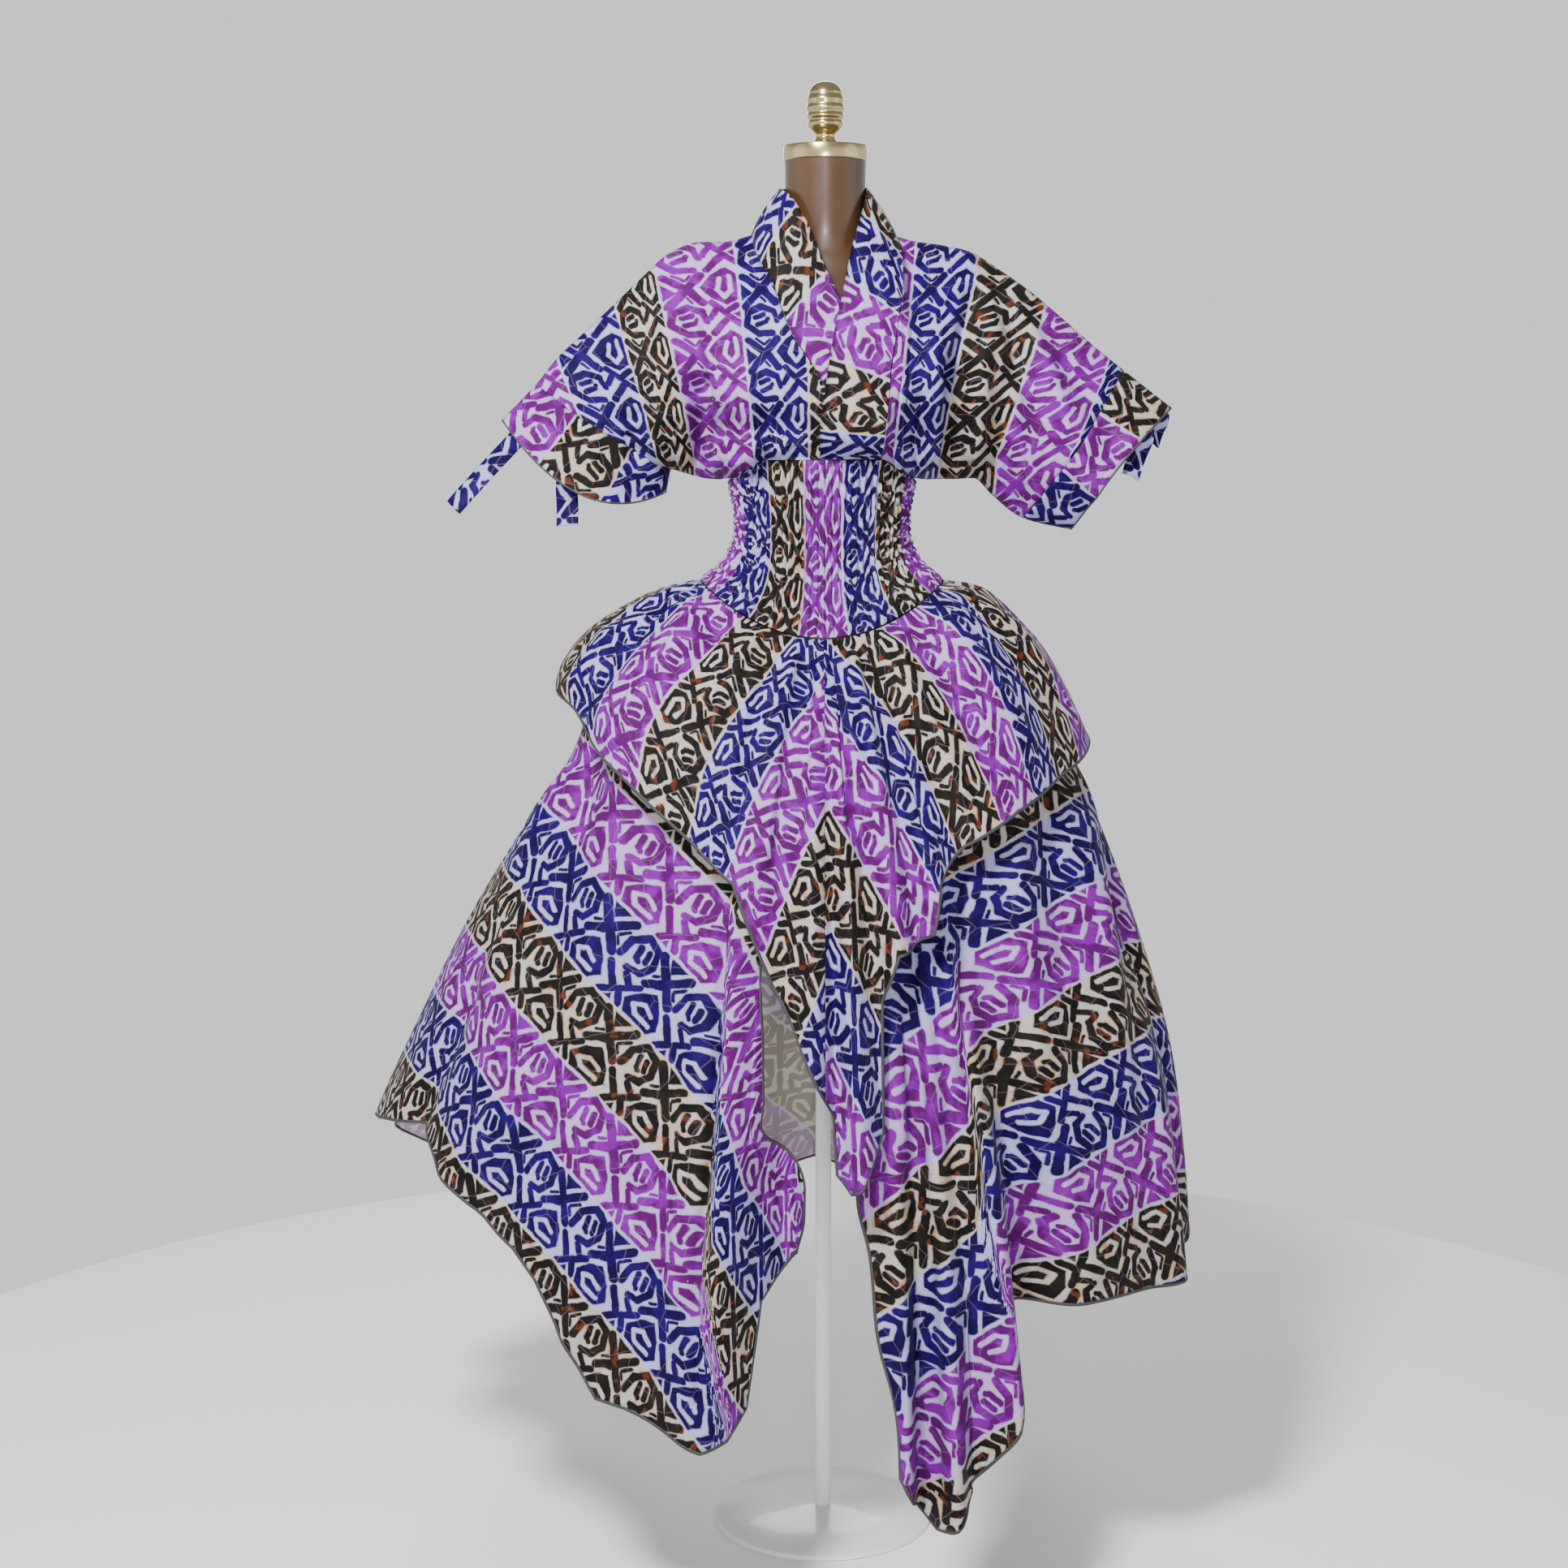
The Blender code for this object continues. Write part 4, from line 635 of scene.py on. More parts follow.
def waist_arch(points, reach):
    """How far the front of the waist seam is drawn up between the two blousing sides."""
    middle = eased((0.110 - np.abs(points[..., 0])) / 0.045) * (points[..., 1] < 0)
    return WAIST_ARCH * middle * reach


def arch_bodice(points):
    """Draw the front of the bodice or of a band up to the arched waist seam."""
    points = points.copy()
    points[..., 2] += waist_arch(points, eased((SMOCK_TOP_Z + 0.100 - points[..., 2]) / 0.100))
    return points


def bodice_point(side, s, face, v):
    """Points of a bodice half: stations s, face +1 front or -1 back, v from the shoulder down."""
    rows = numbered(BODICE_LEFT if side == "left" else BODICE_RIGHT)
    front = face > 0
    top = columns(rows, (1, 2, 3), s)
    low = columns(rows, (6, 7 if front else 8, 9), s)
    if not front:
        back_low = np.interp(s, [0, 1, 2, 3], [0.0, 0.42, 0.765, 1.0])
        low[..., 0] = np.where(s < 3.0, rows[3][6] * back_low, low[..., 0])
    point = top * (1 - v[..., None]) + low * v[..., None]
    hump = 4.0 * v * (1.0 - v)
    point[..., 0] += column(rows, 4, s) * hump
    point[..., 2] += column(rows, 5, s) * hump
    swell = np.sin(math.pi * share(v) ** 1.15) ** 0.72
    point[..., 1] -= face * column(rows, 10 if front else 11, s) * swell
    # Over the waist the cloth blouses out and down before it turns in to the seam.
    blouse = np.exp(-(((v - 0.93) / 0.055) ** 2)) * share(4.2 - s)
    point[..., 1] -= face * 0.012 * blouse
    point[..., 2] -= 0.007 * blouse
    if front:
        edge = columns(NECK_FRONT_LEFT if side == "left" else NECK_FRONT_RIGHT, (1, 2, 3), v)
    else:
        edge = columns(NECK_BACK, (1, 2, 3), v)
        edge[..., 0] *= rows[0][1]
        edge[..., 2] += (rows[0][3] - NECK_BACK[0][3]) * share(1.0 - v / 0.1)
    near = share(1.0 - s)[..., None]
    return point * (1 - near) + edge * near


def unit(vectors):
    """Vectors scaled to length one."""
    size = np.linalg.norm(vectors, axis=-1, keepdims=True)
    return vectors / np.maximum(size, 1e-12)


def grid_normals(points):
    """Unit normals at the points of a grid, by differences along its rows and columns."""
    return unit(np.cross(np.gradient(points, axis=0), np.gradient(points, axis=1)))


def turned_out(normals, outward, part=np.s_[:]):
    """Normals of a grid, all reversed if those of its part point against the outward vectors."""
    return -normals if np.sum(normals[part] * outward) < 0 else normals


def way_along(path):
    """How far along a path each of its points is."""
    return np.append(0.0, np.cumsum(np.linalg.norm(np.diff(path, axis=0), axis=1)))


def finer(values, parts):
    """A list of positions with more of them, evenly spread between each two."""
    count = (len(values) - 1) * parts + 1
    return np.interp(np.linspace(0, len(values) - 1, count), np.arange(len(values)), values)


def crease_push(points, creases, facing=-1.0):
    """How far creases move each point along its normal; facing is the sign of y on their side."""
    x = points[..., 0] * -facing
    z = points[..., 2]
    total = np.zeros(x.shape)
    for x0, z0, x1, z1, width, height in creases:
        dx = x1 - x0
        dz = z1 - z0
        t = share(((x - x0) * dx + (z - z0) * dz) / (dx * dx + dz * dz))
        away = (x - x0 - t * dx) ** 2 + (z - z0 - t * dz) ** 2
        total += height * np.exp(-away / width**2)
    return total * share(points[..., 1] * facing / 0.04)


def add_object(name, points, faces, materials, slots=None, cloth_uv=None, back_uv=None):
    """Make a mesh object from arrays; cloth_uv gives each point its place on the flat cloth.

    back_uv is another place for each point, with a mark for each face that reads it.
    """
    mesh = bpy.data.meshes.new(name)
    mesh.from_pydata(np.asarray(points).tolist(), [], np.asarray(faces).tolist())
    for material in materials:
        mesh.materials.append(material)
    if slots is not None:
        mesh.polygons.foreach_set("material_index", np.asarray(slots, dtype=np.int32))
    if cloth_uv is not None:
        corners = np.empty(len(mesh.loops), dtype=np.int32)
        mesh.loops.foreach_get("vertex_index", corners)
        places = np.asarray(cloth_uv, dtype=np.float32)[corners]
        if back_uv is not None:
            marked = np.repeat(back_uv[1], 4)
            places[marked] = np.asarray(back_uv[0], dtype=np.float32)[corners][marked]
        mesh.uv_layers.new(name="cloth").data.foreach_set("uv", places.ravel())
    mesh.polygons.foreach_set("use_smooth", np.ones(len(mesh.polygons), dtype=bool))
    mesh.update()
    made = bpy.data.objects.new(name, mesh)
    bpy.context.scene.collection.objects.link(made)
    return made


def grid_faces(rows, width, closed=False):
    """Four-sided faces of a grid of points, as an array."""
    last = width if closed else width - 1
    i, j = np.meshgrid(np.arange(rows - 1) * width, np.arange(last), indexing="ij")
    k = (j + 1) % width
    return stacked(i + j, i + k, i + width + k, i + width + j).reshape(-1, 4)


def shell(name, middle, normals, uv, closed=False, turn_over=None, lift=0.0):
    """A thin cloth piece on a grid, in place of its solid: outer side, paler reverse, and rims.

    turn_over gives the column beyond which the print reads its second list of places, and lift
    how much further out the outer side stands. The moved middle of the cloth is returned.
    """
    middle = middle + np.array([DRESS_SHIFT_X, 0.0, 0.0])
    rows, width = middle.shape[:2]
    half = rows * width
    outer = (middle + normals * (SHELL / 2 + lift)).reshape(-1, 3)
    inner = (middle - normals * SHELL / 2).reshape(-1, 3)
    faces = grid_faces(rows, width, closed)
    a, b, c = (outer[faces[:, corner]] for corner in (0, 1, 3))
    if np.sum(np.cross(b - a, c - a) * normals.reshape(-1, 3)[faces[:, 0]]) < 0:
        faces = faces[:, ::-1]
    order = np.arange(half).reshape(rows, width)
    if closed:
        rims = [np.append(order[0], 0), np.append(order[-1], order[-1, 0])[::-1]]
    else:
        rims = [np.concatenate([order[0], order[1:, -1], order[-1, -2::-1], order[-2::-1, 0]])]
    sides = [stacked(rim[:-1], rim[1:], rim[1:] + half, rim[:-1] + half) for rim in rims]
    every = np.concatenate([faces, faces[:, ::-1] + half, *sides])
    slots = np.zeros(len(every))
    slots[len(faces) : 2 * len(faces)] = 1
    back_uv = None
    if turn_over is not None:
        beyond = np.all(every % half % width >= turn_over[0], axis=1)
        back_uv = (np.tile(turn_over[1].reshape(-1, 2), (2, 1)), beyond)
    points = np.concatenate([outer, inner])
    both = np.tile(uv.reshape(-1, 2), (2, 1))
    piece = add_object(name + "_cloth", points, every, CLOTH_MATERIALS, slots, both, back_uv)
    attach(piece, "root")
    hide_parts(name)
    return middle


def rope(name, path, across, half_wide, half_thick, closed=False):
    """A thin flattened thread along a path; across gives its wide direction at each point."""
    if closed:
        ahead = unit(np.roll(path, -1, axis=0) - np.roll(path, 1, axis=0))
    else:
        ahead = unit(np.gradient(path, axis=0))
    wide = unit(across - ahead * np.sum(across * ahead, axis=1, keepdims=True))
    thick = np.cross(ahead, wide)
    turns = round_turns(THREAD_SIDES)
    spokes = stacked(np.cos(turns) * half_wide, np.sin(turns) * half_thick)
    rings = [path + wide * a + thick * b for a, b in spokes]
    points = np.stack(rings, axis=1).reshape(-1, 3)
    faces = grid_faces(len(path) + closed, THREAD_SIDES, closed=True) % len(points)
    along = np.repeat(way_along(path), THREAD_SIDES)
    uv = stacked(along, np.tile(turns / (2 * math.pi), len(path)))
    made = add_object(name, points, faces, [THREAD], None, uv)
    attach(made, "root")


def round_turns(count):
    """Angles spread evenly round a circle."""
    return np.arange(count) * 2 * math.pi / count


def print_uv(panel, angle, down, points):
    """Where points of a ring panel lie on the print, in metres along and across the stripes."""
    centre, turn, start, mirror, *lie = PRINT_ON_RING[panel]
    swing = np.radians((angle - centre) * turn) * mirror
    x = (start + down) * np.sin(swing)
    y = -(start + down) * np.cos(swing)
    place = laid(lie, x, y)
    if panel.startswith("peplum_front"):
        # Toward the middle the stripes are drawn up into the gathers.
        drawn = np.clip(place[..., 1] - 2.0 * PRINT_CELL, 0.0, PRINT_CELL)
        place[..., 1] += PEPLUM_DRAWN_UP * drawn
    if panel in PRINT_FOLDS:
        line, side, first, last, *lie = PRINT_FOLDS[panel]
        beyond = share((angle - straight(line, 1, down)) * side / 1.4)
        if panel in PRINT_HANGS_FREE:
            x, y = points[..., 0], points[..., 2]
        folded = beyond * share((down - first) / (last - first))
        place += (laid(lie, x, y) - place) * folded[..., None]
    return place


def laid(lie, x, y):
    """Places along and across the print from flat places, as the six numbers of lie say."""
    ax, ay, ashift, bx, by, bshift = lie
    return stacked(ax * x + ay * y + ashift, bx * x + by * y + bshift)


def ring_layer(prefix, lines, folds, lengths, sets, edges, creases, rows):
    """Four panels of the peplum or skirt, with a dark overlocked thread along each free edge."""
    grids = {}
    places = {}
    normals = {}
    for part, angles in sets.items():
        angles = finer(angles, PANEL_PARTS[part])
        hem = straight(lengths, 1, angles)
        down = (np.linspace(0.0, 1.0, rows) ** 0.92)[:, None] * hem
        angle = angles + 0.0 * down
        if part in edges:
            free = angles[-1] if part == "front_left" else angles[0]
            nearness = share(1.0 - np.abs(angle - free) / (6.0 + abs(free)))
            angle = angle + (column(edges[part], 1, down) - free) * nearness**1.3
        grid = ring_point(lines, folds, angle, down, hem)
        push = crease_push(grid, creases, 1.0 if part.startswith("back") else -1.0)
        from_edge = np.minimum(np.arange(len(angles)), np.arange(len(angles))[::-1])
        push = push * share(down / 0.04) * share(from_edge / 6.0)
        turn = np.radians(angle)
        ripple = np.cos(41.0 * turn + 1.0) + 0.7 * np.cos(67.0 * turn)
        ripple = ripple + 0.5 * np.cos(23.0 * turn + 2.0)
        near_seam = down / 0.040
        push = push + RING_RIPPLE * ripple * near_seam * np.exp(1.0 - near_seam)
        grid = grid + turned_out(grid_normals(grid), grid * LEVEL) * push[..., None]
        grids[part] = grid
        places[part] = (angle, down)
        normals[part] = turned_out(grid_normals(grid), grid * LEVEL)
    for one, i, other, j in PANEL_JOINS[: 3 if edges else 4]:
        shared = unit(normals[one][:, i] + normals[other][:, j])
        normals[one][:, i] = shared
        normals[other][:, j] = shared
    for part, grid in grids.items():
        name = prefix + "_" + part
        moved = grid.copy()
        moved[:, 0] += unit(grid[:, 1] - grid[:, 0]) * SEAM_GAP / 3
        moved[:, -1] += unit(grid[:, -2] - grid[:, -1]) * SEAM_GAP / 3
        middle = shell(name, moved, normals[part], print_uv(name, *places[part], grid))
        threads = [("_hem_thread", middle[-1], middle[-2])]
        if part in edges:
            start = int(EDGE_THREAD_START * rows)
            free, inside = (-1, -2) if part == "front_left" else (0, 1)
            threads.append(("_edge_thread", middle[start:, free], middle[start:, inside]))
        for ending, edge, beside in threads:
            up = unit(beside - edge)
            rope(name + ending, edge + up * 0.0012, up, *HEM_THREAD)


def make_smock(name, start):
    """Half of the smocked waist: fine upright gathers, pinched in at each elastic line."""
    angles = start + 0.15 + 179.7 * np.linspace(0.0, 1.0, SMOCK_COLUMNS)
    angle, down = np.meshgrid(angles, np.linspace(0.0, 1.0, SMOCK_ROWS))
    plain = smock_point(angle, down)
    plain[..., 2] += waist_arch(plain, share(1.0 - down / 0.5))
    normals = unit(turned_out(grid_normals(plain), plain * LEVEL) * LEVEL)
    turn = np.radians(angle)
    wander = 0.35 * np.sin(9.0 * down * math.pi + 5.0 * turn)
    wander = wander + 0.25 * np.sin(23.0 * down + 31.0 * turn)
    gather = 0.5 + 0.5 * np.cos(SMOCK_GATHERS * turn + wander)
    small = 0.5 + 0.5 * np.cos(SMOCK_GATHERS * 1.87 * turn - 1.7 * wander)
    pinch = 0.50 + 0.50 * np.abs(np.sin(math.pi * SMOCK_ELASTIC_LINES * down))
    rim = share(np.minimum(down, 1.0 - down) / 0.05)
    lift = (GATHER_HEIGHT * gather + SMALL_GATHER_HEIGHT * small) * pinch * (0.1 + 0.9 * rim)
    along = -down * SMOCK_CLOTH_LENGTH - 0.0016 * gather
    sway = 0.0012 * np.sin(SMOCK_GATHERS * turn + wander)
    across = (0.5 - angle / SMOCK_STRIPE_DEG) * PRINT_CELL + sway
    shell(name, plain, normals, stacked(along, across), lift=lift[..., None])


def bodice_uv(side, points, back):
    """Where bodice points lie on the print: upright stripes that run over the shoulder."""
    lower = share((1.54 - points[..., 2]) / 0.25)
    x = points[..., 0]
    # Lower down the gathers draw the stripes in, and on the sleeves they lean toward the body.
    from_mid = np.abs(x - BODICE_MIDDLE_X)
    gathered = BODICE_GATHER[side] * np.minimum(from_mid, SLEEVE_START) * lower
    sleeve = share((from_mid - SLEEVE_START) / 0.10)
    shift = gathered * (1.0 - sleeve) + SLEEVE_LEAN * lower**1.5 * sleeve
    x = x + np.sign(x - BODICE_MIDDLE_X) * shift
    across = np.interp(x, *zip(*BODICE_STRIPES[side])) * PRINT_CELL
    along = points[..., 2] * BODICE_ALONG
    if back:
        along = 2.0 * SHOULDER_Z * BODICE_ALONG - along
    return stacked(along, across)


def cloth_side(side):
    """The whole cloth of one side of the bodice, its normals, and the column of its crown."""
    front_v = finer(BODICE_DOWN, 4)
    back_v = front_v[::-1][1:]
    halves = []
    for face, positions in ((1, front_v), (-1, back_v)):
        v, s = np.meshgrid(positions, finer(range(10), BODICE_PARTS))
        halves.append(bodice_point(side, s, face, v))
    grid = arch_bodice(np.concatenate(halves, axis=1))
    fade = np.ones(grid.shape[:2])
    ramp = np.linspace(0.0, 1.0, 4)
    fade[:, :4] *= ramp
    fade[:, -4:] *= ramp[::-1]
    fade[:4] *= ramp[:, None]
    chest = np.s_[BODICE_PARTS : 4 * BODICE_PARTS, 2:10]
    normals = turned_out(grid_normals(grid), grid[chest] - CHEST_MIDDLE, chest)
    push = crease_push(grid, BODICE_CREASES) + crease_push(grid, BODICE_CREASES, 1.0)
    x = grid[..., 0]
    gathers = np.sin(x * 390.0) + 0.7 * np.sin(x * 610.0 + 1.0)
    near_waist = np.clip((1.0 - np.append(front_v, back_v)) / 0.10, 0.0, 9.0)
    at_waist = share((0.17 - np.abs(x)) / 0.03)
    push = push + BODICE_RIPPLE * gathers * near_waist * np.exp(1.0 - near_waist) * at_waist
    grid = grid + normals * (push * fade)[..., None]
    normals = turned_out(grid_normals(grid), grid[chest] - CHEST_MIDDLE, chest)
    sleeve = int(3.5 * BODICE_PARTS)
    under = unit(normals[sleeve:, 0] + normals[sleeve:, -1])
    for edge in (0, -1):
        normals[sleeve:, edge] = under
        normals[:sleeve, edge] = unit(normals[:sleeve, edge] * LEVEL)
    return grid, normals, len(front_v) - 1


def make_bodice_half(side):
    """A bodice half with its sleeve, and the printed band round the sleeve's end."""
    grid, normals, crown = cloth_side(side)
    seam = 8 * BODICE_PARTS
    body = grid[: seam + 1].copy()
    body[0] += unit(grid[1] - grid[0]) * SEAM_GAP / 3
    body[-1] += unit(grid[seam - 1] - grid[seam]) * SEAM_GAP / 3
    front_uv, back_uv = (bodice_uv(side, grid[: seam + 1], back) for back in (False, True))
    shell("bodice_" + side, body, normals[: seam + 1], front_uv, turn_over=(crown, back_uv))
    cuff = grid[seam:, :-1].copy()
    cuff[:, 0] = (grid[seam:, 0] + grid[seam:, -1]) / 2
    cuff[0] += unit(cuff[1] - cuff[0]) * SEAM_GAP / 3
    step = np.linalg.norm(np.diff(cuff, axis=1, append=cuff[:, :1]), axis=2)
    round_way = np.cumsum(step, axis=1) - step
    from_crown = np.abs(round_way - round_way[:, crown : crown + 1])
    sign, start = CUFF_STRIPES[side]
    along = 0.030 - np.linalg.norm(cuff - cuff[:1], axis=2)
    place = stacked(along, start + sign * from_crown)
    cuff = shell("cuff_" + side, cuff, normals[seam:, :-1], place, closed=True)
    up = unit(cuff[-2] - cuff[-1])
    rope("cuff_" + side + "_hem_thread", cuff[-1] + up * 0.0010, up, *CUFF_THREAD, closed=True)


def make_band(side):
    """One half of the neck band, from the centre back to its front end."""
    rows = numbered(BAND_LEFT if side == "left" else BAND_RIGHT)
    sign = -1.0 if side == "left" else 1.0
    last = len(rows) - 1
    along = np.linspace(0.0, last, 8 * last + 1)
    sewn = columns(rows, (1, 2, 3), along)
    free = columns(rows, (4, 5, 6), along)
    across = np.linspace(0.0, 1.0, 15)
    grid = arch_bodice(sewn[:, None] + (free - sewn)[:, None] * across[:, None])
    normals = turned_out(grid_normals(grid), grid[32:] - NECK_MIDDLE, np.s_[32:])
    normals[0] = unit(normals[0] * np.array([0.0, 1.0, 1.0]))
    puff = BAND_PUFF * share((last - along) / 2.5)[:, None] * (4 * across * (1 - across))
    grid = grid + normals * puff[..., None]
    grid[:, 0] += unit(grid[:, 1] - grid[:, 0]) * (SEAM_GAP + CLOTH / 2)
    flat_along = 0.02 - sign * np.linalg.norm(free - sewn, axis=1)[:, None] * across
    way = way_along((sewn + free) / 2)[:, None]
    place = stacked(flat_along, BAND_STRIPE_START[side] + sign * way)
    shell("band_" + side, grid, normals, place)


def make_tie(name, side, v, direction_x, direction_z, length, width):
    """A short strip that is sewn inside the sleeve hem and hangs from it."""
    stations = np.array([9.0, 8.6, 9.0])
    hem, up, ahead = bodice_point(side, stations, 1, np.array([v, v, v + 0.04]))
    normal = unit(np.cross(up - hem, ahead - hem))
    if normal[1] > 0:
        normal = -normal
    leave = hem - normal * 0.0025
    hang = unit(np.array([direction_x, -0.10, direction_z]))
    across = unit(np.cross(hang, normal))
    if np.dot(across, ahead - hem) < 0:
        across = -across
    path = [leave + (up - hem) * 0.35, leave]
    for f in np.linspace(0.1, 1.0, 14):
        sag = np.array([0.0, 0.010 * math.sin(3.0 * f), -0.008 * f * f])
        path.append(leave + hang * length * f + sag)
    way = way_along(path)[:, None]
    bend = np.minimum(1.0, 0.25 * np.arange(len(path)))[:, None]
    side_way = unit(unit(ahead - hem) * (1.0 - bend) + across * bend)
    spread = np.linspace(-0.5, 0.5, 9)
    curl = 0.0012 * np.cos(2 * math.pi * spread) * np.minimum(1.0, way / 0.03)
    grid = np.array(path)[:, None] + side_way[:, None] * (width * spread)[:, None]
    grid = grid + normal * curl[..., None]
    normals = turned_out(grid_normals(grid), normal, np.s_[:, 4])
    shell(name, grid, normals, stacked(way, 2.5 * PRINT_CELL + spread * width))


def turned_piece(name, replaced, points, material, sharp=35):
    """A piece of the form or stand from rings of points; edges over sharp degrees stay sharp."""
    faces = grid_faces(*points.shape[:2], closed=True)
    made = add_object(name, points.reshape(-1, 3), faces, [material])
    made.data.set_sharp_from_angle(angle=math.radians(sharp))
    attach(made, "root")
    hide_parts(replaced)


def lathe(name, replaced, profile, segments, material):
    """A turned piece from a profile of radius and height, closed at both ends."""
    rows = np.array([(0.0, profile[0][1]), *profile, (0.0, profile[-1][1])])
    turns = round_turns(segments)
    radius = np.maximum(rows[:, :1], 1e-5)
    points = stacked(radius * np.cos(turns), radius * np.sin(turns), rows[:, 1:])
    turned_piece(name, replaced, points, material)


def make_form():
    """The glossy brown torso and neck."""
    heights = np.linspace(FORM_SECTIONS[0][0], FORM_SECTIONS[-1][0], FORM_ROWS)[:, None]
    wide, deep, square = (column(FORM_SECTIONS, key, heights) for key in (1, 2, 3))
    c = np.cos(round_turns(FORM_SEGMENTS))
    s = np.sin(round_turns(FORM_SEGMENTS))
    x = wide * np.sign(c) * np.abs(c) ** (2.0 / square)
    y = deep * np.sign(s) * np.abs(s) ** (2.0 / square)
    grid = stacked(x, y, heights)
    drawn_in = np.array([1e-3, 1e-3, 1.0])
    points = np.concatenate([grid[:1] * drawn_in, grid, grid[-1:] * drawn_in])
    turned_piece("form_cover", "form_torso", points, FORM_COVER, sharp=50)


def feed(tree, made, inputs):
    """Give a node's inputs, by place or name, their values or links."""
    for key, value in inputs.items():
        if isinstance(value, bpy.types.NodeSocket):
            tree.links.new(value, made.inputs[key])
        elif value is not None:
            made.inputs[key].default_value = value


def node(tree, kind, *values, **settings):
    """Add a shader node, set its settings, and give its inputs values or links in order."""
    made = tree.nodes.new("ShaderNode" + kind)
    for key, value in settings.items():
        setattr(made, key, value)
    feed(tree, made, dict(enumerate(values)))
    return made


def calc(tree, operation, *values, clamp=False):
    """A Math node's result."""
    return node(tree, "Math", *values, operation=operation, use_clamp=clamp).outputs[0]


def inverse(tree, value):
    """One less a number."""
    return calc(tree, "SUBTRACT", 1.0, value)


def vector(tree, operation, *values):
    """A Vector Math node's result, a number where the operation gives one."""
    made = node(tree, "VectorMath", *values, operation=operation)
    return made.outputs["Value" if operation in ("LENGTH", "DOT_PRODUCT") else "Vector"]


def blend(tree, factor, *colours):
    """Mix two colours."""
    first, second = (c if isinstance(c, bpy.types.NodeSocket) else (*c, 1.0) for c in colours)
    made = node(tree, "Mix", data_type="RGBA")
    feed(tree, made, {0: factor, 6: first, 7: second})
    return made.outputs[2]


def noise(tree, place, scale, detail, roughness, output=0):
    """A flat Noise texture's value, or its colour as output 1."""
    made = node(tree, "TexNoise", place, None, scale, detail, roughness, noise_dimensions="2D")
    return made.outputs[output]


def bump(tree, height, strength, distance):
    """The normals of a Bump node."""
    made = node(tree, "Bump")
    feed(tree, made, {"Strength": strength, "Distance": distance, "Height": height})
    return made.outputs[0]


def line_distance(tree, place, x0, y0, x1, y1, half_width):
    """Distance from a place on the cell to a line with round ends, less its half width."""
    dx = x1 - x0
    dy = y1 - y0
    size = dx * dx + dy * dy
    rel = vector(tree, "SUBTRACT", place, (x0, y0, 0.0))
    ahead = vector(tree, "DOT_PRODUCT", rel, (dx / size, dy / size, 0.0))
    t = calc(tree, "ADD", ahead, 0.0, clamp=True)
    both = node(tree, "CombineXYZ", t, t, 0.0).outputs[0]
    away = vector(tree, "MULTIPLY_ADD", both, (-dx, -dy, 0.0), rel)
    return calc(tree, "SUBTRACT", vector(tree, "LENGTH", away), half_width)


def shape_distance(tree, place, corners):
    """Signed distance to a filled shape whose corners all point out."""
    mid_x = sum(c[0] for c in corners) / len(corners)
    mid_y = sum(c[1] for c in corners) / len(corners)
    worst = None
    for (x0, y0), (x1, y1) in zip(corners, corners[1:] + corners[:1]):
        size = math.hypot(x1 - x0, y1 - y0)
        nx = (y1 - y0) / size
        ny = -(x1 - x0) / size
        if (mid_x - x0) * nx + (mid_y - y0) * ny > 0:
            nx = -nx
            ny = -ny
        ahead = vector(tree, "DOT_PRODUCT", place, (nx, ny, 0.0))
        side = calc(tree, "SUBTRACT", ahead, x0 * nx + y0 * ny)
        worst = side if worst is None else calc(tree, "MAXIMUM", worst, side)
    return worst


def nearest(tree, place, lines):
    """The least distance to any of the lines, with copies where one runs over the cell's end."""
    best = None
    for x0, y0, x1, y1, half_width in lines:
        for shift in (-1.0, 0.0, 1.0):
            low = min(x0, x1) + shift - half_width
            high = max(x0, x1) + shift + half_width
            if high > 0.0 and low < 1.0:
                found = line_distance(tree, place, x0 + shift, y0, x1 + shift, y1, half_width)
                best = found if best is None else calc(tree, "MINIMUM", best, found)
    return best


def soft_step(tree, value, low, high):
    """Zero below low, one above high, smooth between."""
    made = node(tree, "MapRange", value, low, high, 0.0, 1.0, interpolation_type="SMOOTHSTEP")
    return made.outputs[0]


def new_material(name):
    """A new material, its node tree and its shader."""
    material = bpy.data.materials.new(name)
    material.use_nodes = True
    return material, material.node_tree, material.node_tree.nodes["Principled BSDF"]


